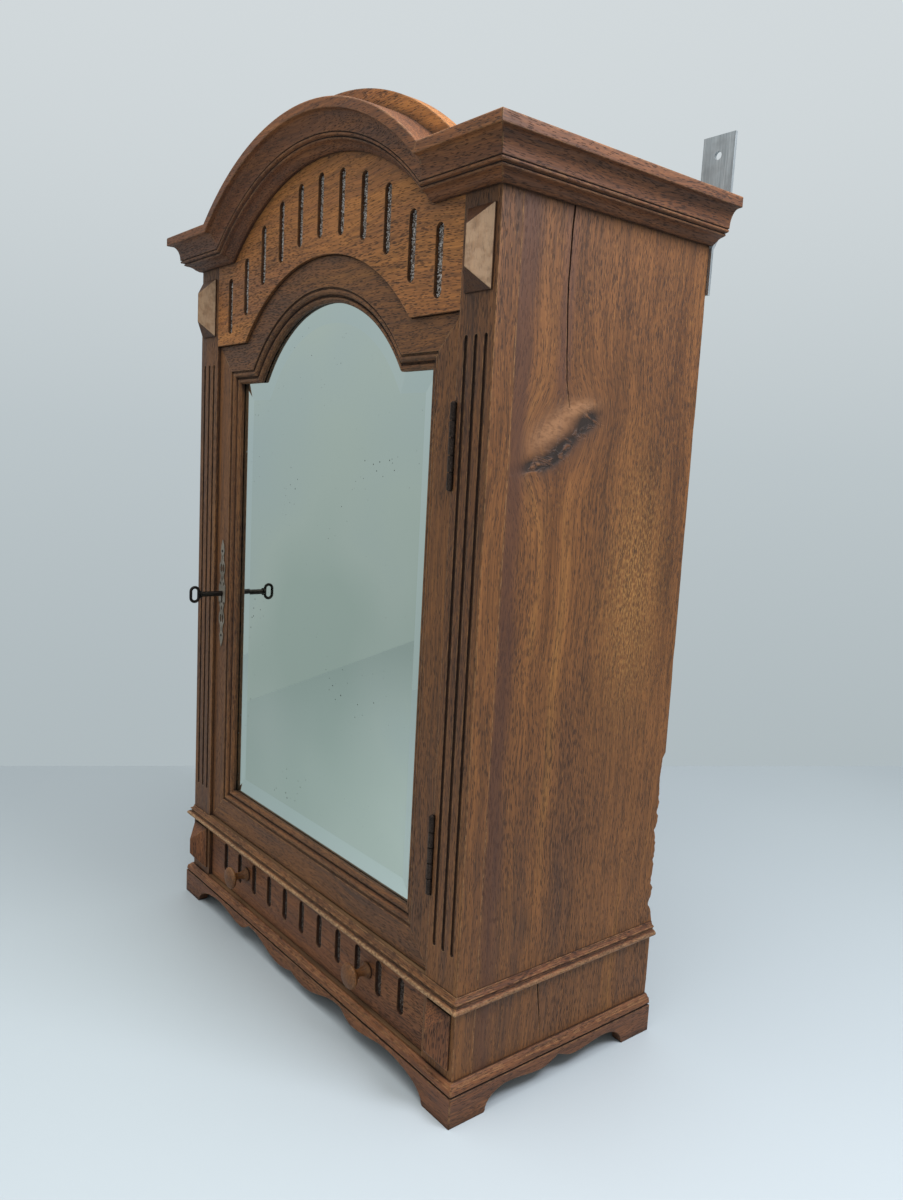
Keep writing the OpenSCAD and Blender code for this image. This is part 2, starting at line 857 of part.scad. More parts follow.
module door_arched_rail() {
    out_x = shoulder_x(0);
    in_x = shoulder_x(frame_w);
    low_z = door_z1 - frame_w;
    far = 200;
    slope = (out_x - in_x) / frame_w;
    lap = 0.2;
    color(walnut) in_frame() difference() {
        facing(door_set, door_back) difference() {
            intersection() {
                union() {
                    translate([-door_x, low_z]) square([2 * door_x, frame_w]);
                    translate([0, door_cz]) circle(r = door_r, $fn = 180);
                }
                polygon([
                    [-door_x + frame_w, low_z], [door_x - frame_w, low_z], [door_x, door_z1],
                    [door_x, door_z1 + far], [-door_x, door_z1 + far], [-door_x, door_z1]
                ]);
            }
            translate([0, door_cz]) circle(r = door_r - frame_w, $fn = 180);
        }
        intersection() {
            turned_arch(door_cz) polygon([for (p = mould_cut) [door_r - p[0], -door_set - p[1]]]);
            facing(door_set - 2, door_back) polygon([
                [-in_x - lap + 2 * slope, low_z - 2], [in_x + lap - 2 * slope, low_z - 2],
                [in_x + lap + far * slope, low_z + far], [-in_x - lap - far * slope, low_z + far]
            ]);
        }
        for (side = [0, 1])
            mirror([side, 0, 0]) intersection() {
                flank(0, door_x + 1) polygon([for (p = mould_cut) [door_set + p[1], door_z1 - p[0]]]);
                facing(door_set - 2, door_back) polygon([
                    [in_x - lap - 2 * slope, low_z - 2], [door_x + 1, low_z - 2],
                    [door_x + 1, door_z1], [out_x - lap, door_z1]
                ]);
            }
        facing(door_set + glass_set, door_back + 1) mirror_outline(rebate);
    }
}

// Shouldered arch outline that stands a given distance outside the sight edge
module mirror_outline(margin) {
    x1 = door_x - frame_w + margin;
    z0 = door_z0 + frame_w - margin;
    z1 = door_z1 - frame_w + margin;
    translate([-x1, z0]) square([2 * x1, z1 - z0]);
    translate([0, door_cz]) circle(r = door_r - frame_w + margin, $fn = 180);
}

module mirror_glass() {
    color(silver_glass) in_frame()
        facing(glass_y, glass_y + glass_t) mirror_outline(rebate - rebate_gap);
}

module mirror_backing() {
    y0 = glass_y + glass_t + 0.2;
    color(pine) in_frame() facing(y0, y0 + backing_t) mirror_outline(rebate - rebate_gap);
}

// Headless pins driven into the rebate behind the backing board
module mirror_pins() {
    pin = 0.7;
    y = glass_y + glass_t + 0.2 + backing_t + pin;
    x1 = door_x - frame_w + rebate + 4;
    low_z = door_z0 + frame_w - rebate - 4;
    color(iron) in_frame() {
        for (side = [0, 1], z = [key_z - 90, key_z - 40, key_z + 60, key_z + 130])
            mirror([side, 0, 0]) translate([x1, y, z]) rotate([0, -90, 0]) cylinder(r = pin, h = 9, $fn = 16);
        for (x = [-70, 0, 70])
            translate([x, y, low_z]) cylinder(r = pin, h = 9, $fn = 16);
    }
}

function plate_half_w(t) = 1.3 + 5 * exp(-pow(t / 9, 2))
    + 3.6 * exp(-pow((abs(t) - 21) / 5.5, 2)) + 2 * exp(-pow((abs(t) - 36) / 3.2, 2));

module escutcheon() {
    n = 40;
    right_edge = [for (i = [-n : n]) [plate_half_w(plate_half * i / n), plate_half * i / n]];
    left_edge = [for (i = [n : -1 : -n]) [-plate_half_w(plate_half * i / n), plate_half * i / n]];
    color(patina) in_frame() difference() {
        facing(door_set - plate_t, door_set)
            translate([lock_x, key_z]) polygon(concat(right_edge, left_edge));
        keyhole(door_set - plate_t - 1, door_set + 1);
        for (dz = [-36, 36])
            translate([lock_x, door_set + 1, key_z + dz]) rotate([90, 0, 0]) cylinder(r = 0.6, h = plate_t + 2);
    }
}

module escutcheon_pins() {
    color(iron) in_frame()
        for (dz = [-36, 36])
            translate([lock_x, door_set - plate_t, key_z + dz]) rotate([-90, 0, 0]) {
                cylinder(r = 0.55, h = 6);
                translate([0, 0, -0.5]) cylinder(r1 = 0.7, r2 = 1.1, h = 0.5);
            }
}

module lock_case() {
    color(iron) in_frame() difference() {
        board([lock_x0, lock_y, lock_z0], [lock_x1, door_back, lock_z1]);
        board(
            [lock_x0 + lock_wall, lock_y + lock_wall, lock_z0 + lock_wall],
            [lock_x1 - lock_wall, door_back - lock_wall, lock_z1 - lock_wall]
        );
        board(
            [lock_x0 - 1, bolt_y0 - bolt_gap, bolt_z0 - bolt_gap],
            [lock_x0 + 2, bolt_y0 + bolt_t + bolt_gap, bolt_z0 + bolt_h + bolt_gap]
        );
        keyhole(lock_y - 1, lock_y + lock_wall + 0.5);
        translate([lock_x, door_back - 2, key_z]) rotate([-90, 0, 0]) cylinder(r = 1.3, h = 4);
    }
}

// Shaft on the key axis, collar, bit and an upright stadium-shaped bow
module key() {
    shaft_r = key_shaft_d / 2;
    wire = 2.4;
    bow_r = 3.4;
    bow_straight = 5.2;
    bow_y = -key_reach + bow_r + wire / 2;
    shaft_end = bow_y + bow_r;
    color(iron) in_frame() translate([lock_x, 0, key_z]) {
        translate([0, door_back - 2.6, 0]) rotate([90, 0, 0])
            cylinder(r = shaft_r, h = door_back - 2.6 - shaft_end);
        translate([0, door_back - 2.8, 0]) rotate([-90, 0, 0]) cylinder(r = 1.2, h = 2.6);
        translate([0, shaft_end + 2.4, 0]) rotate([90, 0, 0])
            cylinder(r = shaft_r + 0.9, h = 1.6);
        board([-1, bit_y0, -bit_r], [1, bit_y0 + 4, -shaft_r / 2]);
        for (up = [-1, 1])
            translate([0, bow_y, up * bow_straight / 2]) rotate([0, -90, 0])
                rotate([0, 0, up > 0 ? -90 : 90])
                    rotate_extrude(angle = 180) translate([bow_r, 0]) circle(d = wire, $fn = 24);
        for (dy = [-bow_r, bow_r])
            translate([0, bow_y + dy, -bow_straight / 2]) cylinder(d = wire, h = bow_straight, $fn = 24);
    }
}

module lock_bolt() {
    tip = 0.2;
    color(steel) in_frame()
        board(
            [-door_x + tip, bolt_y0, bolt_z0],
            [lock_x1 - lock_wall - 2, bolt_y0 + bolt_t, bolt_z0 + bolt_h]
        );
}

// Drawer
drawer_z0 = base_top + front_gap;
drawer_z1 = floor_z - front_gap;
drawer_x = inner_x - 1.5;
drawer_face_back = drawer_set + drawer_front_t;
drawer_back_y = back_y - drawer_back_gap;
drawer_low = base_top + 0.3;
drawer_side_top = drawer_z1 - 5.5;
drawer_bottom_z = drawer_low + 3.5;
drawer_bottom_t = 4;
knob_z = drawer_z0 + 25.3;
tenon_r = 3;
tenon_len = 8;

module drawer_front() {
    color(walnut) in_frame() difference() {
        board([-door_x, drawer_set, drawer_z0], [door_x, drawer_face_back, drawer_z1]);
        for (i = [0 : flute_n - 1])
            facing(drawer_set - 1, drawer_set + flute_depth)
                translate([(i - (flute_n - 1) / 2) * drawer_pitch, drawer_z1 - 6.5 - drawer_flute_len / 2])
                    slot_outline(flute_w, drawer_flute_len);
        for (x = [-knob_x, knob_x])
            translate([x, drawer_set - 1, knob_z]) rotate([-90, 0, 0]) cylinder(r = tenon_r, h = tenon_len + 1);
    }
}

module drawer_side_body() {
    board(
        [drawer_x - drawer_side_t, drawer_face_back, drawer_low],
        [drawer_x, drawer_back_y, drawer_side_top]
    );
}

module drawer_right_side() {
    color(pine) in_frame() drawer_side_body();
}

module drawer_left_side() {
    color(pine) in_frame() on_left() drawer_side_body();
}

module drawer_back() {
    x = drawer_x - drawer_side_t;
    color(pine) in_frame()
        board(
            [-x, drawer_back_y - drawer_side_t, drawer_bottom_z + drawer_bottom_t],
            [x, drawer_back_y, drawer_side_top - 3]
        );
}

module drawer_bottom() {
    x = drawer_x - drawer_side_t;
    color(pine) in_frame()
        board(
            [-x, drawer_face_back, drawer_bottom_z],
            [x, drawer_back_y, drawer_bottom_z + drawer_bottom_t]
        );
}

// Turned knobs: collar, neck and domed disc head, with a tenon into the drawer front
module drawer_knobs() {
    head_r = knob_d / 2;
    color(pale_walnut) in_frame()
        for (x = [-knob_x, knob_x])
            translate([x, drawer_set, knob_z]) rotate([90, 0, 0]) rotate_extrude()
                polygon(concat(
                    [[0, -tenon_len], [tenon_r, -tenon_len], [tenon_r, 0], [5.4, 0], [5.6, 0.8], [5.3, 1.7]],
                    [[4.2, 2.4], [3.3, 4], [2.8, 6.4], [2.9, 9], [3.8, 11], [5.6, 12.4]],
                    [[head_r - 0.8, 13.4], [head_r, 14.6], [head_r - 0.1, 15.6]],
                    [[head_r - 1, 16.6], [head_r - 3.4, 17.5], [head_r - 6, 18], [0, 18.2]]
                ));
}

left_post();
right_post();
left_side_panel();
right_side_panel();
back_boards();
bottom_board();
cabinet_floor();
top_board();
frieze_board();
cornice_arch();
cornice_front_left();
cornice_front_right();
cornice_return_left();
cornice_return_right();
waist_moulding_front();
waist_moulding_left();
waist_moulding_right();
base_moulding_front();
base_moulding_left();
base_moulding_right();
front_apron();
left_apron();
right_apron();
corner_glue_blocks();
drawer_guides();
lower_shelf();
upper_shelf();
shelf_cleats();
upper_left_block();
upper_right_block();
lower_left_block();
lower_right_block();
left_hanging_strap();
right_hanging_strap();
strap_screws();
strike_plate();
hinge_frame_leaves();
hinge_pins();
hinge_frame_screws();
door_hinge_stile();
door_lock_stile();
door_arched_rail();
door_bottom_rail();
mirror_glass();
mirror_backing();
mirror_pins();
hinge_door_leaves();
hinge_door_screws();
escutcheon();
escutcheon_pins();
lock_case();
key();
lock_bolt();
drawer_front();
drawer_left_side();
drawer_right_side();
drawer_back();
drawer_bottom();
drawer_knobs();
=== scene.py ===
import math

import bmesh
import bpy
from mathutils import Matrix, Vector, noise


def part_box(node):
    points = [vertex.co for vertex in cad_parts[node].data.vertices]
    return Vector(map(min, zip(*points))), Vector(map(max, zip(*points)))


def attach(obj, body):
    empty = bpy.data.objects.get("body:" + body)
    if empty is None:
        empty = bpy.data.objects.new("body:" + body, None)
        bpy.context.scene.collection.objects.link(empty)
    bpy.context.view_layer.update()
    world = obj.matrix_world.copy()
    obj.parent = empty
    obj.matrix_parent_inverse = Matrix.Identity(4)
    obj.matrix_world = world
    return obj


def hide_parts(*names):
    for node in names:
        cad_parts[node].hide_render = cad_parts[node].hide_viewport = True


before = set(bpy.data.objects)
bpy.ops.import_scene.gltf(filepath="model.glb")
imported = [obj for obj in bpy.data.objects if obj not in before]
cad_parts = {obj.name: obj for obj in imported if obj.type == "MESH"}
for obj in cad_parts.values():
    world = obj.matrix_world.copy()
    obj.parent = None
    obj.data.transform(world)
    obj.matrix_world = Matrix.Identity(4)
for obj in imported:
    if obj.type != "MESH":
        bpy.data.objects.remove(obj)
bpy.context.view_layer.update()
mm = 0.001
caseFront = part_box("right_post")[0].y  # the plane of the post faces
print("frame loaded,", len(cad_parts), "nodes")


def linear(hexColour):
    parts = [int(hexColour[i:i + 2], 16) / 255 for i in (1, 3, 5)]
    return tuple(c / 12.92 if c <= 0.04045 else ((c + 0.055) / 1.055) ** 2.4 for c in parts) + (1.0,)


def addNode(tree, kind, inputs=None, **settings):
    made = tree.nodes.new(kind)
    for name, value in settings.items():
        if name == "stops":  # colour ramp stops as (place, colour)
            ramp = made.color_ramp
            while len(ramp.elements) < len(value):
                ramp.elements.new(0.5)
            for element, (place, colour) in zip(ramp.elements, value):
                element.position = place
                element.color = linear(colour) if isinstance(colour, str) else (colour, colour, colour, 1)
        else:
            setattr(made, name, value)
    for name, value in (inputs or {}).items():
        if isinstance(value, bpy.types.NodeSocket):
            tree.links.new(value, made.inputs[name])
        else:
            made.inputs[name].default_value = value
    return made


def newMaterial(name):
    material = bpy.data.materials.new(name)
    material.use_nodes = True
    tree = material.node_tree
    tree.nodes.clear()
    surface = addNode(tree, "ShaderNodeBsdfPrincipled")
    addNode(tree, "ShaderNodeOutputMaterial", {"Surface": surface.outputs[0]})
    return material, tree, surface


def gaussAt(tree, centre, spread, turn=0.0):
    # a soft spot in the plane of the side board, 1 at its centre
    coord = addNode(tree, "ShaderNodeTexCoord").outputs["Object"]
    moved = addNode(tree, "ShaderNodeVectorMath", {0: coord, 1: centre}, operation="SUBTRACT").outputs[0]
    turned = addNode(tree, "ShaderNodeVectorRotate", {
        "Vector": moved,
        "Angle": turn,
    }, rotation_type="X_AXIS").outputs[0]
    sized = addNode(tree, "ShaderNodeVectorMath", {
        0: turned,
        1: (0, 1 / spread[0], 1 / spread[1]),
    }, operation="MULTIPLY").outputs[0]
    far = addNode(tree, "ShaderNodeVectorMath", {0: sized}, operation="LENGTH").outputs["Value"]
    return addNode(tree, "ShaderNodeMath", {
        0: 0.3679,
        1: addNode(tree, "ShaderNodeMath", {0: far, 1: far}, operation="MULTIPLY").outputs[0],
    }, operation="POWER").outputs[0]


# Walnut, sawn, planed and waxed long ago: open pores show as short dark dashes, colour runs in
# long streaks from gold to purple-brown, corners are rubbed pale and inner corners are darkened with painted shade.
walnutSettings = {
    "streaks": 44.0,  # per metre across the grain, so bands of about 12 to 25 mm
    "fibre": 420.0,  # fine fibre of 2 to 3 mm
    "poreSize": 0.8 * mm,
    "poreLength": 8.0,
    "poreDark": "#2a1a12",
    "wear": "#a87c50",
    # colour of the painted shade laid into recesses found by ambient occlusion
    "recessShade": "#1f130d",
    "wearRadius": 1.3 * mm,
    "shadeReach": 9 * mm,
    "roughness": (0.46, 0.64),
    "bump": 0.35 * mm,
}


def walnut(
    name, grain, tones, wear=0.6, recessShade=0.95, blotch="#43281b", blotchAmount=0.35, marks=None, seed=0.0, pores=0.75
):
    s = walnutSettings
    material, tree, surface = newMaterial(name)
    axis = "xyz".index(grain)
    coord = addNode(tree, "ShaderNodeTexCoord").outputs["Object"]
    shifted = addNode(tree, "ShaderNodeVectorMath", {
        0: coord,
        1: (seed, seed * 0.7, seed * 1.3),
    }, operation="ADD").outputs[0]
    wander = addNode(tree, "ShaderNodeTexNoise", {"Vector": shifted, "Scale": 7.0, "Detail": 2.0})
    sway = addNode(tree, "ShaderNodeVectorMath", {
        0: wander.outputs["Color"],
        1: (0.5, 0.5, 0.5),
    }, operation="SUBTRACT").outputs[0]
    sway = addNode(tree, "ShaderNodeVectorMath", {0: sway, "Scale": 0.022}, operation="SCALE").outputs[0]
    bent = addNode(tree, "ShaderNodeVectorMath", {0: shifted, 1: sway}, operation="ADD").outputs[0]
    if marks and "knot" in marks:  # the grain parts round the knot
        knot = marks["knot"]
        round1 = gaussAt(tree, knot["centre"], knot["pull"], knot["turn"])
        away = addNode(tree, "ShaderNodeVectorMath", {0: coord, 1: knot["centre"]}, operation="SUBTRACT").outputs[0]
        pushed = addNode(tree, "ShaderNodeVectorMath", {
            0: away,
            "Scale": addNode(tree, "ShaderNodeMath", {0: round1, 1: -0.85}, operation="MULTIPLY").outputs[0],
        }, operation="SCALE").outputs[0]
        bent = addNode(tree, "ShaderNodeVectorMath", {0: bent, 1: pushed}, operation="ADD").outputs[0]

    def along(stretch):
        scale = [1.0, 1.0, 1.0]
        scale[axis] = stretch
        return addNode(tree, "ShaderNodeMapping", {"Vector": bent, "Scale": scale}).outputs[0]

    figure = addNode(tree, "ShaderNodeTexNoise", {
        "Vector": along(0.06), "Scale": s["streaks"], "Detail": 5.0, "Roughness": 0.58, "Distortion": 0.5,
    }).outputs[0]
    fibre = addNode(tree, "ShaderNodeTexNoise", {
        "Vector": along(0.035), "Scale": s["fibre"], "Detail": 3.0, "Roughness": 0.6,
    }).outputs[0]
    cloud = addNode(tree, "ShaderNodeTexNoise", {"Vector": along(0.35), "Scale": 13.0, "Detail": 3.0}).outputs[0]
    poreField = addNode(tree, "ShaderNodeTexVoronoi", {
        "Vector": along(1 / s["poreLength"]),
        "Scale": 1 / s["poreSize"],
        "Randomness": 1.0,
    }, feature="F1").outputs["Distance"]
    poreWidth = addNode(tree, "ShaderNodeMapRange", {
        0: cloud, 1: 0.3, 2: 0.7, 3: 0.16, 4: 0.34,
    }, interpolation_type="SMOOTHSTEP").outputs[0]
    pore = addNode(tree, "ShaderNodeMapRange", {
        0: addNode(tree, "ShaderNodeMath", {0: poreField, 1: poreWidth}, operation="SUBTRACT").outputs[0],
        1: 0.0,
        2: 0.12,
        3: 1.0,
        4: 0.0,
    }, interpolation_type="SMOOTHSTEP").outputs[0]
    fleckField = addNode(tree, "ShaderNodeTexVoronoi", {
        "Vector": along(0.22),
        "Scale": 560.0,
        "Randomness": 1.0,
    }, feature="F1").outputs["Distance"]
    fleck = addNode(tree, "ShaderNodeMapRange", {
        0: fleckField, 1: 0.12, 2: 0.3, 3: 1.0, 4: 0.0,
    }, interpolation_type="SMOOTHSTEP").outputs[0]

    base = addNode(tree, "ShaderNodeValToRGB", {
        0: figure,
    }, stops=[(0.2, tones[0]), (0.38, tones[1]), (0.6, tones[2]), (0.84, tones[3])]).outputs[0]
    base = addNode(tree, "ShaderNodeMix", {
        0: addNode(tree, "ShaderNodeMath", {
            0: addNode(tree, "ShaderNodeMapRange", {
                0: cloud,
                1: 0.45,
                2: 0.7,
            }, interpolation_type="SMOOTHSTEP").outputs[0],
            1: blotchAmount,
        }, operation="MULTIPLY").outputs[0],
        6: base,
        7: linear(blotch),
    }, data_type="RGBA").outputs[2]
    hair = addNode(tree, "ShaderNodeTexNoise", {"Vector": along(0.02), "Scale": 1300.0, "Detail": 2.0}).outputs[0]
    base = addNode(tree, "ShaderNodeMix", {
        0: 0.8,
        6: base,
        7: addNode(tree, "ShaderNodeValToRGB", {0: hair}, stops=[(0.36, 0.6), (0.5, 0.95), (0.62, 1.2)]).outputs[0],
    }, data_type="RGBA", blend_type="MULTIPLY").outputs[2]
    fibreShade = addNode(tree, "ShaderNodeValToRGB", {
        0: fibre,
    }, stops=[(0.36, 0.58), (0.5, 0.92), (0.64, 1.0)]).outputs[0]
    base = addNode(tree, "ShaderNodeMix", {
        0: 0.85,
        6: base,
        7: fibreShade,
    }, data_type="RGBA", blend_type="MULTIPLY").outputs[2]
    base = addNode(tree, "ShaderNodeMix", {
        0: addNode(tree, "ShaderNodeMath", {0: fleck, 1: 0.28}, operation="MULTIPLY").outputs[0],
        6: base,
        7: linear(tones[3]),
    }, data_type="RGBA").outputs[2]
    base = addNode(tree, "ShaderNodeMix", {
        0: addNode(tree, "ShaderNodeMath", {0: pore, 1: pores}, operation="MULTIPLY").outputs[0],
        6: base,
        7: linear(s["poreDark"]),
    }, data_type="RGBA").outputs[2]

    rounded = addNode(tree, "ShaderNodeBevel", {"Radius": s["wearRadius"]}, samples=4).outputs[0]
    geometry = addNode(tree, "ShaderNodeNewGeometry")
    facing = addNode(tree, "ShaderNodeVectorMath", {
        0: rounded,
        1: geometry.outputs["Normal"],
    }, operation="DOT_PRODUCT").outputs["Value"]
    recess = addNode(tree, "ShaderNodeAmbientOcclusion", {"Distance": s["shadeReach"]}, samples=6).outputs["AO"]
    scuff = addNode(tree, "ShaderNodeTexNoise", {"Vector": coord, "Scale": 190.0, "Detail": 4.0}).outputs[0]
    worn = addNode(tree, "ShaderNodeMath", {
        0: addNode(tree, "ShaderNodeMapRange", {
            0: facing,
            1: 0.995,
            2: 0.9,
        }, interpolation_type="SMOOTHSTEP").outputs[0],
        1: addNode(tree, "ShaderNodeMapRange", {0: scuff, 1: 0.38, 2: 0.6}, interpolation_type="SMOOTHSTEP").outputs[0],
    }, operation="MULTIPLY").outputs[0]
    worn = addNode(tree, "ShaderNodeMath", {
        0: worn,
        1: addNode(tree, "ShaderNodeMapRange", {
            0: recess,
            1: 0.55,
            2: 0.85,
        }, interpolation_type="SMOOTHSTEP").outputs[0],
    }, operation="MULTIPLY").outputs[0]
    base = addNode(tree, "ShaderNodeMix", {
        0: addNode(tree, "ShaderNodeMath", {0: worn, 1: wear}, operation="MULTIPLY").outputs[0],
        6: base,
        7: linear(s["wear"]),
    }, data_type="RGBA").outputs[2]
    # painted shade: the colour is darkened where ambient occlusion finds a recess, standing in for shade in inner
    # corners
    held = addNode(tree, "ShaderNodeMath", {
        0: addNode(tree, "ShaderNodeMapRange", {
            0: recess,
            1: 0.86,
            2: 0.34,
        }, interpolation_type="SMOOTHSTEP").outputs[0],
        1: recessShade,
    }, operation="MULTIPLY").outputs[0]
    base = addNode(tree, "ShaderNodeMix", {0: held, 6: base, 7: linear(s["recessShade"])}, data_type="RGBA").outputs[2]
    height = addNode(tree, "ShaderNodeMath", {
        0: addNode(tree, "ShaderNodeMath", {0: fibre, 1: 0.5}, operation="MULTIPLY").outputs[0],
        1: addNode(tree, "ShaderNodeMath", {0: pore, 1: 0.55}, operation="MULTIPLY").outputs[0],
    }, operation="SUBTRACT").outputs[0]
    if marks:
        base, height = marks["paint"](tree, base, height, coord, scuff)
    rough = addNode(tree, "ShaderNodeMapRange", {
        0: figure, 1: 0.3, 2: 0.7, 3: s["roughness"][0], 4: s["roughness"][1],
    }).outputs[0]
    rough = addNode(tree, "ShaderNodeMath", {
        0: rough,
        1: addNode(tree, "ShaderNodeMath", {
            0: addNode(tree, "ShaderNodeMath", {0: pore, 1: held}, operation="ADD").outputs[0],
            1: 0.2,
        }, operation="MULTIPLY").outputs[0],
    }, operation="ADD", use_clamp=True).outputs[0]
    bumped = addNode(tree, "ShaderNodeBump", {
        "Strength": 0.75, "Distance": s["bump"], "Height": height, "Normal": rounded,
    }).outputs[0]
    for name, value in {"Base Color": base, "Roughness": rough, "Normal": bumped}.items():
        tree.links.new(value, surface.inputs[name])
    surface.inputs["IOR"].default_value = 1.5
    surface.inputs["Specular IOR Level"].default_value = 0.36
    return material


# The side board: a knot, its drying crack, a purple streak by the front edge, a golden patch.
boardMarks = {
    "knot": {
        "centre": (0.19, caseFront + 55 * mm, 421 * mm),
        "pull": (44 * mm, 26 * mm),
        "turn": math.radians(-33),
    },
}


def paintSideBoard(tree, base, height, coord, scuff):
    knot = boardMarks["knot"]
    parts = addNode(tree, "ShaderNodeSeparateXYZ", {0: coord})
    y, z = parts.outputs[1], parts.outputs[2]
    curl = addNode(tree, "ShaderNodeMapping", {
        "Vector": coord,
        "Rotation": (knot["turn"], 0, 0),
        "Scale": (1, 0.45, 1.0),
    }).outputs[0]
    lump = addNode(tree, "ShaderNodeTexNoise", {
        "Vector": curl, "Scale": 95.0, "Detail": 6.0, "Roughness": 0.62, "Distortion": 2.2,
    }).outputs[0]
    thread = addNode(tree, "ShaderNodeTexNoise", {
        "Vector": curl, "Scale": 520.0, "Detail": 3.0, "Distortion": 0.8,
    }).outputs[0]

    def spot(dy, dz, wide, tall, turn=0.0):
        return gaussAt(
            tree,
            Vector(knot["centre"]) + Vector((0, dy * mm, dz * mm)),
            (wide * mm, tall * mm),
            turn,
        )

    shade = spot(2, -2, 40, 22, knot["turn"])
    base = addNode(tree, "ShaderNodeMix", {
        0: addNode(tree, "ShaderNodeMath", {0: shade, 1: 0.6}, operation="MULTIPLY").outputs[0],
        6: base,
        7: linear("#4b2e1e"),
    }, data_type="RGBA").outputs[2]
    pale = addNode(tree, "ShaderNodeMath", {
        0: spot(-6, 3, 21, 8, knot["turn"]),
        1: spot(17, 17, 13, 4, -0.2),
    }, operation="ADD", use_clamp=True).outputs[0]
    base = addNode(tree, "ShaderNodeMix", {
        0: addNode(tree, "ShaderNodeMath", {
            0: pale,
            1: addNode(tree, "ShaderNodeMapRange", {
                0: thread, 1: 0.3, 2: 0.6, 3: 0.45, 4: 1.0,
            }, interpolation_type="SMOOTHSTEP").outputs[0],
        }, operation="MULTIPLY").outputs[0],
        6: base,
        7: linear("#8d6342"),
    }, data_type="RGBA").outputs[2]
    gash = addNode(tree, "ShaderNodeMath", {
        0: spot(2, -9, 17, 5, -0.62),
        1: spot(23, 9, 10, 6, -0.5),
    }, operation="ADD", use_clamp=True).outputs[0]
    gash = addNode(tree, "ShaderNodeMath", {
        0: gash,
        1: spot(-19, -19, 13, 4, -0.25),
    }, operation="ADD", use_clamp=True).outputs[0]
    dark = addNode(tree, "ShaderNodeMath", {
        0: addNode(tree, "ShaderNodeMath", {0: gash, 1: 1.5}, operation="MULTIPLY", use_clamp=True).outputs[0],
        1: addNode(tree, "ShaderNodeMapRange", {0: lump, 1: 0.34, 2: 0.5}, interpolation_type="SMOOTHSTEP").outputs[0],
    }, operation="MULTIPLY", use_clamp=True).outputs[0]
    base = addNode(tree, "ShaderNodeMix", {
        0: addNode(tree, "ShaderNodeMath", {0: dark, 1: 0.95}, operation="MULTIPLY").outputs[0],
        6: base,
        7: linear("#1d130d"),
    }, data_type="RGBA").outputs[2]
    wobble = addNode(tree, "ShaderNodeTexNoise", {"Vector": coord, "Scale": 16.0, "Detail": 3.0}).outputs[0]
    streakPlace = addNode(tree, "ShaderNodeMath", {
        0: y,
        1: addNode(tree, "ShaderNodeMath", {
            0: addNode(tree, "ShaderNodeMath", {0: wobble, 1: 0.5}, operation="SUBTRACT").outputs[0],
            1: 0.016,
        }, operation="MULTIPLY").outputs[0],
    }, operation="ADD").outputs[0]
    streak = addNode(tree, "ShaderNodeMath", {
        0: addNode(tree, "ShaderNodeMapRange", {
            0: streakPlace,
            1: caseFront + 14 * mm,
            2: caseFront + 18 * mm,
        }, interpolation_type="SMOOTHSTEP").outputs[0],
        1: addNode(tree, "ShaderNodeMapRange", {
            0: streakPlace,
            1: caseFront + 33 * mm,
            2: caseFront + 23 * mm,
        }, interpolation_type="SMOOTHSTEP").outputs[0],
    }, operation="MULTIPLY").outputs[0]
    base = addNode(tree, "ShaderNodeMix", {
        0: addNode(tree, "ShaderNodeMath", {0: streak, 1: 0.7}, operation="MULTIPLY").outputs[0],
        6: base,
        7: linear("#472a1d"),
    }, data_type="RGBA").outputs[2]
    crackEdge = addNode(tree, "ShaderNodeMath", {0: y, 1: caseFront + 55 * mm}, operation="SUBTRACT").outputs[0]
    crackEdge = addNode(tree, "ShaderNodeMath", {
        0: addNode(tree, "ShaderNodeMapRange", {
            0: addNode(tree, "ShaderNodeMath", {0: crackEdge}, operation="ABSOLUTE").outputs[0],
            1: 9 * mm,
            2: 1 * mm,
        }, interpolation_type="SMOOTHSTEP").outputs[0],
        1: addNode(tree, "ShaderNodeMapRange", {
            0: z,
            1: 430 * mm,
            2: 460 * mm,
        }, interpolation_type="SMOOTHSTEP").outputs[0],
    }, operation="MULTIPLY").outputs[0]
    base = addNode(tree, "ShaderNodeMix", {
        0: addNode(tree, "ShaderNodeMath", {0: crackEdge, 1: 0.45}, operation="MULTIPLY").outputs[0],
        6: base,
        7: linear("#4a2f28"),
    }, data_type="RGBA").outputs[2]
    gold = gaussAt(tree, (0.19, caseFront + 132 * mm, 325 * mm), (26 * mm, 75 * mm))
    grit = addNode(tree, "ShaderNodeTexNoise", {
        "Vector": addNode(tree, "ShaderNodeMapping", {"Vector": coord, "Scale": (1, 1, 0.35)}).outputs[0],
        "Scale": 900.0,
        "Detail": 3.0,
    }).outputs[0]
    base = addNode(tree, "ShaderNodeMix", {
        0: addNode(tree, "ShaderNodeMath", {
            0: gold,
            1: addNode(tree, "ShaderNodeMapRange", {
                0: grit, 1: 0.44, 2: 0.62, 3: 0.05, 4: 0.6,
            }, interpolation_type="SMOOTHSTEP").outputs[0],
        }, operation="MULTIPLY").outputs[0],
        6: base,
        7: linear("#a5763f"),
    }, data_type="RGBA").outputs[2]
    height = addNode(tree, "ShaderNodeMath", {
        0: height,
        1: addNode(tree, "ShaderNodeMath", {0: dark, 1: 2.5}, operation="MULTIPLY").outputs[0],
    }, operation="SUBTRACT").outputs[0]
    return base, height


boardMarks["paint"] = paintSideBoard


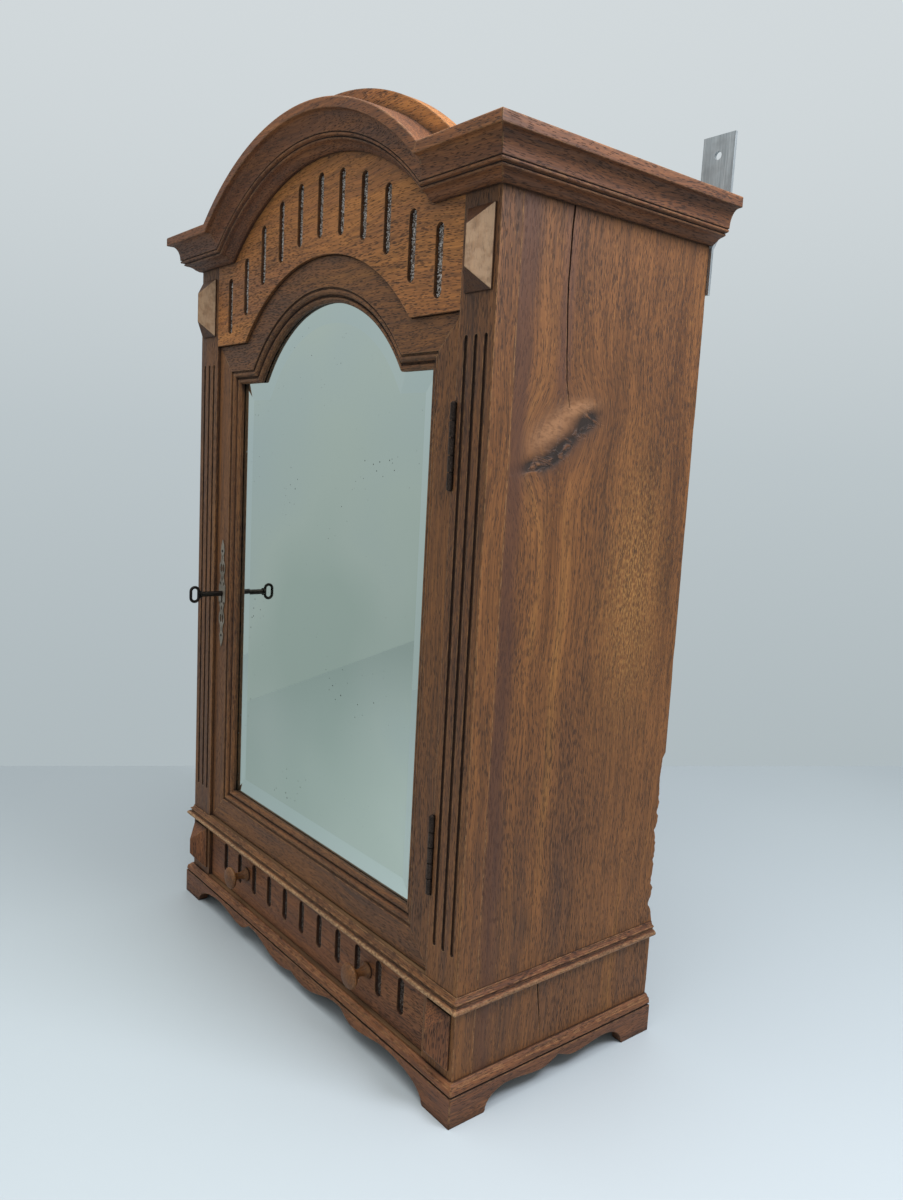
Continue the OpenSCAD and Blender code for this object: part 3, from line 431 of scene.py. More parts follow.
# Flute bottoms were punched with a rough tool: grey, dry and pitted.
def paintFlutes(front):
    def paint(tree, base, height, coord, scuff):
        y = addNode(tree, "ShaderNodeSeparateXYZ", {0: coord}).outputs[1]
        facingY = addNode(tree, "ShaderNodeSeparateXYZ", {
            0: addNode(tree, "ShaderNodeNewGeometry").outputs["Normal"],
        }).outputs[1]
        low = addNode(tree, "ShaderNodeMath", {
            0: addNode(tree, "ShaderNodeMapRange", {
                0: y,
                1: front + 1.2 * mm,
                2: front + 2.0 * mm,
            }, interpolation_type="SMOOTHSTEP").outputs[0],
            1: addNode(tree, "ShaderNodeMapRange", {
                0: facingY,
                1: -0.5,
                2: -0.8,
            }, interpolation_type="SMOOTHSTEP").outputs[0],
        }, operation="MULTIPLY").outputs[0]
        low = addNode(tree, "ShaderNodeMath", {
            0: low,
            1: addNode(tree, "ShaderNodeMapRange", {
                0: y,
                1: front + 4.5 * mm,
                2: front + 3.5 * mm,
            }, interpolation_type="SMOOTHSTEP").outputs[0],
        }, operation="MULTIPLY").outputs[0]
        pits = addNode(tree, "ShaderNodeTexVoronoi", {"Vector": coord, "Scale": 850.0}, feature="F1")
        pitTone = addNode(tree, "ShaderNodeValToRGB", {
            0: pits.outputs["Distance"],
        }, stops=[(0.1, "#8d8780"), (0.35, "#5c534b"), (0.6, "#2b221d")]).outputs[0]
        base = addNode(tree, "ShaderNodeMix", {
            0: addNode(tree, "ShaderNodeMath", {0: low, 1: 0.85}, operation="MULTIPLY").outputs[0],
            6: base,
            7: pitTone,
        }, data_type="RGBA").outputs[2]
        height = addNode(tree, "ShaderNodeMath", {
            0: height,
            1: addNode(tree, "ShaderNodeMath", {
                0: addNode(tree, "ShaderNodeMath", {
                    0: pits.outputs["Distance"],
                    1: low,
                }, operation="MULTIPLY").outputs[0],
                1: 1.6,
            }, operation="MULTIPLY").outputs[0],
        }, operation="SUBTRACT").outputs[0]
        return base, height
    return {"paint": paint}


# The large facets turned to the right have lost their polish and bleached; the end facets are painted dark as shadow.
def paintBleached(tree, base, height, coord, scuff):
    normal = addNode(tree, "ShaderNodeSeparateXYZ", {
        0: addNode(tree, "ShaderNodeNewGeometry").outputs["Normal"],
    })
    side = addNode(tree, "ShaderNodeMath", {
        0: addNode(tree, "ShaderNodeMapRange", {
            0: normal.outputs[0],
            1: 0.3,
            2: 0.5,
        }, interpolation_type="SMOOTHSTEP").outputs[0],
        1: addNode(tree, "ShaderNodeMapRange", {
            0: normal.outputs[0],
            1: 0.95,
            2: 0.85,
        }, interpolation_type="SMOOTHSTEP").outputs[0],
    }, operation="MULTIPLY").outputs[0]
    base = addNode(tree, "ShaderNodeMix", {
        0: addNode(tree, "ShaderNodeMath", {
            0: side,
            1: addNode(tree, "ShaderNodeMapRange", {
                0: scuff, 1: 0.3, 2: 0.6, 3: 0.45, 4: 0.8,
            }, interpolation_type="SMOOTHSTEP").outputs[0],
        }, operation="MULTIPLY").outputs[0],
        6: base,
        7: linear("#a98a6c"),
    }, data_type="RGBA").outputs[2]
    endFacetShadow = addNode(tree, "ShaderNodeMapRange", {
        0: addNode(tree, "ShaderNodeMath", {0: normal.outputs[2]}, operation="ABSOLUTE").outputs[0],
        1: 0.3,
        2: 0.6,
    }, interpolation_type="SMOOTHSTEP").outputs[0]
    # painted shadow: facets turned up or down are darkened as if shaded
    base = addNode(tree, "ShaderNodeMix", {
        0: addNode(tree, "ShaderNodeMath", {0: endFacetShadow, 1: 0.6}, operation="MULTIPLY").outputs[0],
        6: base,
        7: linear("#3a2014"),
    }, data_type="RGBA").outputs[2]
    return base, height


# The nose of the waist moulding is rubbed down to pale, speckled wood.
def paintRubbedNose(tree, base, height, coord, scuff):
    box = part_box("waist_moulding_front")
    place = addNode(tree, "ShaderNodeSeparateXYZ", {0: coord})
    grit = addNode(tree, "ShaderNodeTexNoise", {"Vector": coord, "Scale": 600.0, "Detail": 3.0}).outputs[0]
    nose = addNode(tree, "ShaderNodeMapRange", {
        0: place.outputs[1],
        1: box[0].y + 1.6 * mm,
        2: box[0].y + 0.2 * mm,
    }, interpolation_type="SMOOTHSTEP").outputs[0]
    side = addNode(tree, "ShaderNodeMapRange", {
        0: addNode(tree, "ShaderNodeMath", {0: place.outputs[0]}, operation="ABSOLUTE").outputs[0],
        1: box[1].x - 1.6 * mm,
        2: box[1].x - 0.2 * mm,
    }, interpolation_type="SMOOTHSTEP").outputs[0]
    rub = addNode(tree, "ShaderNodeMath", {
        0: addNode(tree, "ShaderNodeMath", {
            0: nose,
            1: addNode(tree, "ShaderNodeMath", {0: side, 1: 0.4}, operation="MULTIPLY").outputs[0],
        }, operation="ADD", use_clamp=True).outputs[0],
        1: addNode(tree, "ShaderNodeMapRange", {
            0: grit, 1: 0.42, 2: 0.6, 3: 0.25, 4: 0.85,
        }, interpolation_type="SMOOTHSTEP").outputs[0],
    }, operation="MULTIPLY").outputs[0]
    base = addNode(tree, "ShaderNodeMix", {0: rub, 6: base, 7: linear("#b08a62")}, data_type="RGBA").outputs[2]
    return base, height


golden = ("#693b19", "#92592a", "#ab6d33", "#c48645")
brown = ("#442610", "#633c1c", "#784b24", "#926430")
reddish = ("#442412", "#693d21", "#7e4c28", "#956134")
purple = ("#3c2212", "#5e3821", "#744728", "#8c5b33")
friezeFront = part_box("frieze_board")[0].y
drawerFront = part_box("drawer_front")[0].y

woods = {
    "waxedPostWalnut": dict(grain="z", tones=brown, seed=1.7, wear=0.75),
    "waxedSideBoardWalnut": dict(grain="z", tones=brown, seed=0.4, marks=boardMarks, blotchAmount=0.3),
    "waxedLeftBoardWalnut": dict(grain="z", tones=brown, seed=3.1),
    "waxedFriezeWalnut": dict(
        grain="x", tones=golden, seed=5.2, marks=paintFlutes(friezeFront), blotchAmount=0.25,
    ),
    "waxedCorniceWalnut": dict(grain="x", tones=reddish, seed=2.3, wear=0.5, blotchAmount=0.5),
    "waxedCorniceReturnWalnut": dict(grain="y", tones=purple, seed=6.9, wear=0.5),
    "waxedFrontMouldingWalnut": dict(
        grain="x", tones=brown, seed=4.4, wear=1.0, marks={"paint": paintRubbedNose},
    ),
    "waxedSideMouldingWalnut": dict(
        grain="y", tones=reddish, seed=8.2, wear=0.8, marks={"paint": paintRubbedNose},
    ),
    "waxedFrontApronWalnut": dict(grain="x", tones=reddish, seed=7.7, wear=0.7),
    "waxedSideApronWalnut": dict(grain="y", tones=purple, seed=9.5, wear=0.7),
    "bleachedBlockWalnut": dict(grain="z", tones=brown, seed=2.9, marks={"paint": paintBleached}),
    "waxedBlockWalnut": dict(grain="z", tones=reddish, seed=3.6),
    "waxedDoorStileWalnut": dict(grain="z", tones=brown, seed=6.1, wear=0.7),
    "waxedDoorRailWalnut": dict(grain="x", tones=brown, seed=5.8, wear=0.7),
    "waxedDrawerFrontWalnut": dict(grain="x", tones=reddish, seed=1.2, marks=paintFlutes(drawerFront)),
    "turnedKnobWalnut": dict(grain="y", tones=brown, seed=4.9, wear=0.8, pores=0.6),
}
woodMaterials = {name: walnut(name, **settings) for name, settings in woods.items()}
print("walnut finishes made")

# Planed softwood left bare inside, browned by age: even pale streaks, few pores, no shine.
insideSettings = {"tones": ("#5a4029", "#735336", "#876645", "#9b7a56"), "streaks": 45.0}


def bareSoftwood(name, grain, seed):
    material, tree, surface = newMaterial(name)
    scale = [1.0, 1.0, 1.0]
    scale["xyz".index(grain)] = 0.04
    coord = addNode(tree, "ShaderNodeTexCoord").outputs["Object"]
    mapped = addNode(tree, "ShaderNodeMapping", {
        "Vector": coord,
        "Location": (seed, seed, seed),
        "Scale": scale,
    }).outputs[0]
    ring = addNode(tree, "ShaderNodeTexNoise", {
        "Vector": mapped, "Scale": insideSettings["streaks"], "Detail": 5.0, "Distortion": 0.6,
    }).outputs[0]
    fibre = addNode(tree, "ShaderNodeTexNoise", {"Vector": mapped, "Scale": 700.0, "Detail": 2.0}).outputs[0]
    tones = insideSettings["tones"]
    base = addNode(tree, "ShaderNodeValToRGB", {
        0: ring,
    }, stops=[(0.3, tones[0]), (0.45, tones[1]), (0.56, tones[2]), (0.7, tones[3])]).outputs[0]
    shade = addNode(tree, "ShaderNodeValToRGB", {0: fibre}, stops=[(0.3, 0.7), (0.55, 1.0)]).outputs[0]
    base = addNode(tree, "ShaderNodeMix", {
        0: 0.7,
        6: base,
        7: shade,
    }, data_type="RGBA", blend_type="MULTIPLY").outputs[2]
    recess = addNode(tree, "ShaderNodeAmbientOcclusion", {"Distance": 12 * mm}, samples=4).outputs["AO"]
    stain = addNode(tree, "ShaderNodeTexNoise", {"Vector": coord, "Scale": 18.0, "Detail": 4.0}).outputs[0]
    base = addNode(tree, "ShaderNodeMix", {
        0: addNode(tree, "ShaderNodeMath", {
            0: addNode(tree, "ShaderNodeMapRange", {
                0: stain,
                1: 0.5,
                2: 0.68,
            }, interpolation_type="SMOOTHSTEP").outputs[0],
            1: 0.4,
        }, operation="MULTIPLY").outputs[0],
        6: base,
        7: linear("#4e3826"),
    }, data_type="RGBA").outputs[2]
    # painted shade: recesses found by ambient occlusion are darkened
    base = addNode(tree, "ShaderNodeMix", {
        0: addNode(tree, "ShaderNodeMapRange", {
            0: recess, 1: 0.8, 2: 0.2, 3: 0.0, 4: 0.6,
        }, interpolation_type="SMOOTHSTEP").outputs[0],
        6: base,
        7: linear("#2c1e14"),
    }, data_type="RGBA").outputs[2]
    bumped = addNode(tree, "ShaderNodeBump", {"Strength": 0.5, "Distance": 0.3 * mm, "Height": fibre}).outputs[0]
    tree.links.new(base, surface.inputs["Base Color"])
    tree.links.new(bumped, surface.inputs["Normal"])
    surface.inputs["Roughness"].default_value = 0.78
    surface.inputs["Specular IOR Level"].default_value = 0.3
    return material


softwood = {
    axis: bareSoftwood("bareSoftwood" + axis.upper(), axis, seed)
    for axis, seed in (("x", 0.3), ("y", 1.1), ("z", 2.2))
}


# Metals: a pitted, patterned or brushed skin of one kind of metal, drawn from noise at a real grain size.
def oldMetal(name, tones, metallic, roughness, grainSize, stretch=(1, 1, 1), bump=0.05 * mm, recessShade=0.6):
    material, tree, surface = newMaterial(name)
    coord = addNode(tree, "ShaderNodeTexCoord").outputs["Object"]
    mapped = addNode(tree, "ShaderNodeMapping", {"Vector": coord, "Scale": stretch}).outputs[0]
    skin = addNode(tree, "ShaderNodeTexNoise", {
        "Vector": mapped, "Scale": 1 / grainSize, "Detail": 4.0, "Roughness": 0.65,
    }).outputs[0]
    patch = addNode(tree, "ShaderNodeTexNoise", {"Vector": coord, "Scale": 90.0, "Detail": 3.0}).outputs[0]
    base = addNode(tree, "ShaderNodeValToRGB", {
        0: skin,
    }, stops=[(0.3, tones[0]), (0.5, tones[1]), (0.7, tones[2])]).outputs[0]
    base = addNode(tree, "ShaderNodeMix", {
        0: addNode(tree, "ShaderNodeMapRange", {
            0: patch, 1: 0.45, 2: 0.7, 3: 0.0, 4: 0.5,
        }, interpolation_type="SMOOTHSTEP").outputs[0],
        6: base,
        7: linear(tones[0]),
    }, data_type="RGBA").outputs[2]
    # painted shade: recesses found by ambient occlusion are darkened towards near black; on the brass this also stands
    # for its real patina in the hollows
    recess = addNode(tree, "ShaderNodeAmbientOcclusion", {"Distance": 2.5 * mm}, samples=4).outputs["AO"]
    base = addNode(tree, "ShaderNodeMix", {
        0: addNode(tree, "ShaderNodeMapRange", {
            0: recess, 1: 0.8, 2: 0.3, 3: 0.0, 4: recessShade,
        }, interpolation_type="SMOOTHSTEP").outputs[0],
        6: base,
        7: linear("#14100d"),
    }, data_type="RGBA").outputs[2]
    rough = addNode(tree, "ShaderNodeMapRange", {
        0: patch, 1: 0.3, 2: 0.7, 3: roughness[0], 4: roughness[1],
    }, interpolation_type="SMOOTHSTEP").outputs[0]
    bumped = addNode(tree, "ShaderNodeBump", {"Strength": 0.6, "Distance": bump, "Height": skin}).outputs[0]
    for socket, value in {"Base Color": base, "Roughness": rough, "Normal": bumped}.items():
        tree.links.new(value, surface.inputs[socket])
    surface.inputs["Metallic"].default_value = metallic
    return material


# Forged iron browned by handling: nearly black with a dull gleam on worn places.
agedIron = oldMetal("forgedAgedIron", ("#14110f", "#26211e", "#453d38"), 0.85, (0.38, 0.62), 0.6 * mm)
# Cast hinge iron: blackened, grainy.
hingeIron = oldMetal("castBlackenedIron", ("#1d1512", "#352a24", "#57483e"), 0.8, (0.4, 0.65), 0.7 * mm)
# Hot-dip galvanised strip, brushed along its length: bright grey with fine vertical lines and soft spangle.
galvanised = oldMetal(
    "brushedGalvanisedSteel", ("#8b9092", "#a9aeb0", "#c4c8c9"), 0.9, (0.32, 0.5), 0.9 * mm, (1, 1, 0.03),
    0.03 * mm, 0.2,
)
# Stamped brass gone grey-brown: patina in the hollows, a dull metal shine on the high places.
patinatedBrass = oldMetal(
    "stampedPatinatedBrass", ("#463e34", "#83786a", "#aba08e"), 0.55, (0.4, 0.6), 0.5 * mm,
)
# Plain steel of screws.
screwSteel = oldMetal("turnedScrewSteel", ("#5e5b57", "#85817b", "#a8a49d"), 0.9, (0.35, 0.55), 0.4 * mm)


# Silvered plate glass: a clean cold reflection, greenish, with tiny black foxing specks.
def silveredGlass():
    material, tree, surface = newMaterial("silveredPlateGlass")
    coord = addNode(tree, "ShaderNodeTexCoord").outputs["Object"]
    speckField = addNode(tree, "ShaderNodeTexVoronoi", {"Vector": coord, "Scale": 190.0}, feature="F1")
    patch = addNode(tree, "ShaderNodeTexNoise", {"Vector": coord, "Scale": 14.0, "Detail": 3.0}).outputs[0]
    size = addNode(tree, "ShaderNodeMapRange", {
        0: patch, 1: 0.5, 2: 0.72, 3: 0.02, 4: 0.11,
    }, interpolation_type="SMOOTHSTEP").outputs[0]
    speck = addNode(tree, "ShaderNodeMapRange", {
        0: addNode(tree, "ShaderNodeMath", {
            0: speckField.outputs["Distance"],
            1: size,
        }, operation="SUBTRACT").outputs[0],
        1: 0.0,
        2: 0.03,
        3: 1.0,
        4: 0.0,
    }, interpolation_type="SMOOTHSTEP").outputs[0]
    haze = addNode(tree, "ShaderNodeTexNoise", {"Vector": coord, "Scale": 5.0, "Detail": 2.0}).outputs[0]
    base = addNode(tree, "ShaderNodeValToRGB", {
        0: haze,
    }, stops=[(0.35, "#c2cfc2"), (0.5, "#cdd7cb"), (0.65, "#c6d2cd")]).outputs[0]
    base = addNode(tree, "ShaderNodeMix", {
        0: addNode(tree, "ShaderNodeMath", {0: speck, 1: 0.8}, operation="MULTIPLY").outputs[0],
        6: base,
        7: linear("#3a3f3c"),
    }, data_type="RGBA").outputs[2]
    slope = addNode(tree, "ShaderNodeSeparateXYZ", {
        0: addNode(tree, "ShaderNodeTexCoord").outputs["Normal"],
    }).outputs[1]
    bevelHighlight = addNode(tree, "ShaderNodeMapRange", {
        0: addNode(tree, "ShaderNodeMath", {0: slope}, operation="ABSOLUTE").outputs[0],
        1: 0.9995,
        2: 0.996,
    }, interpolation_type="SMOOTHSTEP").outputs[0]
    # painted highlight: the bevel faces are painted lighter than the flat plate
    base = addNode(tree, "ShaderNodeMix", {
        0: addNode(tree, "ShaderNodeMath", {0: bevelHighlight, 1: 0.32}, operation="MULTIPLY").outputs[0],
        6: base,
        7: linear("#dfebea"),
    }, data_type="RGBA").outputs[2]
    rough = addNode(tree, "ShaderNodeMath", {
        0: addNode(tree, "ShaderNodeMapRange", {
            0: haze, 1: 0.3, 2: 0.7, 3: 0.015, 4: 0.05,
        }, interpolation_type="SMOOTHSTEP").outputs[0],
        1: addNode(tree, "ShaderNodeMath", {0: speck, 1: 0.4}, operation="MULTIPLY").outputs[0],
    }, operation="ADD", use_clamp=True).outputs[0]
    tree.links.new(base, surface.inputs["Base Color"])
    tree.links.new(rough, surface.inputs["Roughness"])
    surface.inputs["Metallic"].default_value = 1.0
    return material


mirrorGlass = silveredGlass()
print("metal and glass finishes made")

finishes = {
    "waxedPostWalnut": ["left_post", "right_post"],
    "waxedSideBoardWalnut": ["right_side_panel"],
    "waxedLeftBoardWalnut": ["left_side_panel"],
    "waxedFriezeWalnut": ["frieze_board"],
    "waxedCorniceWalnut": ["cornice_arch", "cornice_front_left", "cornice_front_right"],
    "waxedCorniceReturnWalnut": ["cornice_return_left", "cornice_return_right", "top_board"],
    "waxedFrontMouldingWalnut": ["waist_moulding_front"],
    "waxedSideMouldingWalnut": ["waist_moulding_left", "waist_moulding_right"],
    "waxedFrontApronWalnut": ["front_apron", "base_moulding_front"],
    "waxedSideApronWalnut": ["left_apron", "right_apron", "base_moulding_left", "base_moulding_right"],
    "bleachedBlockWalnut": ["upper_left_block", "upper_right_block"],
    "waxedBlockWalnut": ["lower_left_block", "lower_right_block"],
    "waxedDoorStileWalnut": ["door_hinge_stile", "door_lock_stile"],
    "waxedDoorRailWalnut": ["door_arched_rail", "door_bottom_rail"],
    "waxedDrawerFrontWalnut": ["drawer_front"],
    "turnedKnobWalnut": ["drawer_knobs"],
}
for finish, names in finishes.items():
    for name in names:
        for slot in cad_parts[name].material_slots:
            slot.material = woodMaterials[finish]
others = {
    softwood["z"]: ["back_boards", "mirror_backing", "corner_glue_blocks"],
    softwood["x"]: [
        "bottom_board", "cabinet_floor", "lower_shelf", "upper_shelf", "drawer_back", "drawer_bottom",
    ],
    softwood["y"]: ["drawer_guides", "shelf_cleats", "drawer_left_side", "drawer_right_side"],
    agedIron: ["key", "lock_bolt", "lock_case", "strike_plate", "mirror_pins", "escutcheon_pins"],
    hingeIron: ["hinge_frame_leaves", "hinge_pins", "hinge_door_leaves"],
    screwSteel: ["hinge_frame_screws", "hinge_door_screws", "strap_screws"],
    galvanised: ["left_hanging_strap", "right_hanging_strap"],
    patinatedBrass: ["escutcheon"],
    mirrorGlass: ["mirror_glass"],
}
for material, names in others.items():
    for name in names:
        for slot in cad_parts[name].material_slots:
            slot.material = material
print("finishes laid on the CAD nodes")


def addPiece(name, mesh, material, body, node=None):
    piece = bpy.data.objects.new(name, mesh)
    bpy.context.scene.collection.objects.link(piece)
    mesh.materials.clear()
    mesh.materials.append(material)
    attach(piece, body)
    if node:
        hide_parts(node)


# The right side board: its back edge is eaten away low down, and a drying crack opens from the top to the knot.
sideBoard = {
    "step": 2.0 * mm,
    "bite": 6.5 * mm,
    "biteFrom": 84 * mm,
    "biteTo": 208 * mm,
    "fadeLow": 9 * mm,
    "fadeHigh": 3 * mm,
    "seam": 65 * mm,
    "wander": 0.5 * mm,
    "crack": [
        (55.6, 567.4, 1.5), (55.2, 547.7, 1.4), (54.2, 520, 1.2), (54.5, 497.8, 1.1), (56.2, 474, 1.0),
        (58.1, 452.9, 0.8), (62.0, 436, 0.3),
    ],
    "plinthCrack": [(68.3, 71.0, 1.1), (71.0, 52.0, 0.7), (74.4, 31.4, 0.2)],
}


def crackAt(z):
    for name in ("crack", "plinthCrack"):
        points = sideBoard[name]
        for (y0, z0, w0), (y1, z1, w1) in zip(points, points[1:]):
            if z1 * mm <= z <= z0 * mm + 1e-6:
                t = (z / mm - z1) / (z0 - z1)
                return (y1 + (y0 - y1) * t) * mm, (w1 + (w0 - w1) * t) * mm
    return sideBoard["seam"], 0.0


def makeSideBoard():
    low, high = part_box("right_side_panel")
    shape = bmesh.new()
    count = int((high.z - low.z) / sideBoard["step"])
    rows = []
    for n in range(count + 1):
        z = low.z + (high.z - low.z) * n / count
        rough = noise.noise(Vector((3.1, 0, z * 90))) * 0.5 + noise.noise(Vector((8.3, 0, z * 320))) * 0.35
        inBite = max(
            0.0,
            min(
                1.0,
                (z - sideBoard["biteFrom"]) / sideBoard["fadeLow"],
                (sideBoard["biteTo"] - z) / sideBoard["fadeHigh"],
            ),
        )
        eaten = max(
            inBite * sideBoard["bite"] * max(0.15, 0.5 + rough),
            0.5 * mm * max(0.0, noise.noise(Vector((1.4, 5, z * 60)))),
        )
        y, width = crackAt(z)
        y += caseFront + sideBoard["wander"] * noise.noise(Vector((0, 2, z * 70)))
        left = shape.verts.new((high.x, y - width / 2, z))
        right = shape.verts.new((high.x, y + width / 2, z)) if width else left
        rows.append(
            (shape.verts.new((high.x, low.y, z)), left, right, shape.verts.new((high.x, high.y - eaten, z))),
        )
    for below, above in zip(rows, rows[1:]):
        for a, b in ((0, 1), (2, 3)):
            shape.faces.new((below[a], below[b], above[b], above[a]))
    wall = bmesh.ops.extrude_face_region(shape, geom=list(shape.faces))
    bmesh.ops.translate(
        shape,
        vec=(low.x - high.x, 0, 0),
        verts=[v for v in wall["geom"] if isinstance(v, bmesh.types.BMVert)],
    )
    bmesh.ops.recalc_face_normals(shape, faces=shape.faces)
    mesh = bpy.data.meshes.new("crackedSideBoard")
    shape.to_mesh(mesh)
    shape.free()
    addPiece(
        "crackedSideBoard", mesh, woodMaterials["waxedSideBoardWalnut"], "carcass",
        "right_side_panel",
    )


makeSideBoard()
print("side board made")

# The mirror: a plate with a ground bevel that follows its shouldered arch.
mirrorPlate = {"bevelWidth": 17.5 * mm, "bevelDrop": 1.9 * mm}


def makeMirror():
    shape = bmesh.new()
    shape.from_mesh(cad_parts["mirror_glass"].data)
    bmesh.ops.remove_doubles(shape, verts=shape.verts, dist=1e-6)
    bmesh.ops.dissolve_limit(shape, angle_limit=math.radians(0.5), verts=shape.verts, edges=shape.edges)
    front = [f for f in shape.faces if f.normal.y < -0.99]
    rim = set(v for f in front for v in f.verts)
    bmesh.ops.inset_region(
        shape, faces=front, thickness=mirrorPlate["bevelWidth"], depth=0.0, use_even_offset=True,
    )
    for vert in rim:
        vert.co.y += mirrorPlate["bevelDrop"]
    bmesh.ops.triangulate(shape, faces=shape.faces)
    mesh = bpy.data.meshes.new("bevelledMirror")
    shape.to_mesh(mesh)
    shape.free()
    addPiece("bevelledMirror", mesh, mirrorGlass, "door", "mirror_glass")


makeMirror()
print("mirror made")

# Flute bottoms are stippled with a punch: hundreds of small burrs set at random on their floors.
stipple = {"depth": 2.6 * mm, "density": 1100000.0, "burr": 0.5 * mm, "seed": 7, "drawerShare": 0.45, "slack": 0.3 * mm}


def buildStippleTree():
    tree = bpy.data.node_groups.new("punchedStipple", "GeometryNodeTree")
    sockets = [
        ("Floors", "NodeSocketGeometry", "INPUT"), ("Density", "NodeSocketFloat", "INPUT"),
        ("Burr", "NodeSocketFloat", "INPUT"), ("Seed", "NodeSocketInt", "INPUT"),
        ("Finish", "NodeSocketMaterial", "INPUT"), ("Burrs", "NodeSocketGeometry", "OUTPUT"),
    ]
    for name, kind, way in sockets:
        tree.interface.new_socket(name=name, in_out=way, socket_type=kind)
    given = addNode(tree, "NodeGroupInput").outputs
    points = addNode(tree, "GeometryNodeDistributePointsOnFaces", {
        "Mesh": given["Floors"],
        "Density": given["Density"],
        "Seed": given["Seed"],
    }, distribute_method="RANDOM")
    ball = addNode(tree, "GeometryNodeMeshIcoSphere", {"Radius": given["Burr"], "Subdivisions": 1}).outputs[0]
    size = addNode(tree, "FunctionNodeRandomValue", {
        0: (0.5, 0.5, 0.5),
        1: (1.1, 1.1, 1.6),
        "Seed": given["Seed"],
    }, data_type="FLOAT_VECTOR").outputs[0]
    turn = addNode(tree, "FunctionNodeRandomValue", {
        0: (0, 0, 0),
        1: (6.28, 6.28, 6.28),
        "Seed": given["Seed"],
    }, data_type="FLOAT_VECTOR").outputs[0]
    placed = addNode(tree, "GeometryNodeInstanceOnPoints", {
        "Points": points.outputs["Points"], "Instance": ball, "Rotation": turn, "Scale": size,
    }).outputs[0]
    real = addNode(tree, "GeometryNodeRealizeInstances", {0: placed}).outputs[0]
    done = addNode(tree, "GeometryNodeSetMaterial", {"Geometry": real, "Material": given["Finish"]}).outputs[0]
    addNode(tree, "NodeGroupOutput", {0: done})
    return tree


def growOn(name, mesh, tree, inputs):
    # runs a node tree over a mesh and keeps the plain result
    holder = bpy.data.objects.new(name + "Base", mesh)
    bpy.context.scene.collection.objects.link(holder)
    grown = holder.modifiers.new("grow", "NODES")
    grown.node_group = tree
    for item in tree.interface.items_tree:
        if item.item_type == "SOCKET" and item.in_out == "INPUT" and item.name in inputs:
            grown[item.identifier] = inputs[item.name]
    held = holder.evaluated_get(bpy.context.evaluated_depsgraph_get())
    result = bpy.data.meshes.new_from_object(held)
    holder.modifiers.clear()
    bpy.data.objects.remove(holder)
    result.name = name
    return result


# Raw burrs of torn, greyed wood, dry and dull, lighter than the wax-dark floor under them.
def tornWood():
    material, tree, surface = newMaterial("punchedGreyWalnut")
    coord = addNode(tree, "ShaderNodeTexCoord").outputs["Object"]
    grit = addNode(tree, "ShaderNodeTexNoise", {"Vector": coord, "Scale": 700.0, "Detail": 3.0}).outputs[0]
    base = addNode(tree, "ShaderNodeValToRGB", {
        0: grit,
    }, stops=[(0.35, "#645a52"), (0.5, "#a49b93"), (0.62, "#cfc8c1")]).outputs[0]
    bumped = addNode(tree, "ShaderNodeBump", {"Strength": 0.5, "Distance": 0.1 * mm, "Height": grit}).outputs[0]
    tree.links.new(base, surface.inputs["Base Color"])
    tree.links.new(bumped, surface.inputs["Normal"])
    surface.inputs["Roughness"].default_value = 0.8
    return material


stippleTree = buildStippleTree()
greyWalnut = tornWood()


def fluteFloors(node):
    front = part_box(node)[0].y
    shape = bmesh.new()
    shape.from_mesh(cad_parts[node].data)
    floor = front + stipple["depth"]
    keep = [
        f for f in shape.faces
        if f.normal.y < -0.9 and abs(f.calc_center_median().y - floor) < stipple["slack"]
    ]
    bmesh.ops.delete(shape, geom=[f for f in shape.faces if f not in set(keep)], context="FACES")
    mesh = bpy.data.meshes.new(node + "Floors")
    shape.to_mesh(mesh)
    shape.free()
    return mesh


punched = [("frieze_board", "carcass", "frieze_walnut"), ("drawer_front", "drawer", "drawer_walnut")]
for node, body, slotName in punched:
    density = stipple["density"] * (1.0 if body == "carcass" else stipple["drawerShare"])
    grown = growOn(node + "Stipple", fluteFloors(node), stippleTree, {
        "Density": density, "Burr": stipple["burr"], "Seed": stipple["seed"], "Finish": greyWalnut,
    })
    addPiece(
        node + "Stipple",
        grown,
        greyWalnut if body == "carcass" else woodMaterials["waxedDrawerFrontWalnut"],
        body,
    )
    print("stipple on", node, len(grown.polygons), "faces")

# The escutcheon is a stamped openwork plate: a scrolled outline pierced by almond holes, slightly domed.
escutcheonPlate = {
    "half": 45.3,
    "rows": 60,
    "edge": 0.13 * mm,
    "slotWide": 1.35,
    "slotTall": 1.6,
    "slotDrop": 6.6,
    "widths": [
        (0, 5.6), (6, 5.9), (10, 4.0), (14, 2.7), (19, 4.6), (24, 4.9), (28, 2.6), (32, 1.9), (36, 3.3),
        (40, 2.6), (45.3, 0.5),
    ],
    "holes": [
        (21.5, 1.5, 3.6, 1.9), (21.5, 1.5, 3.6, -1.9), (30.5, 0.55, 2.4, 0), (12.5, 0.8, 2.0, 0),
        (8.2, 0.9, 1.5, 3.2), (8.2, 0.9, 1.5, -3.2),
    ],
}


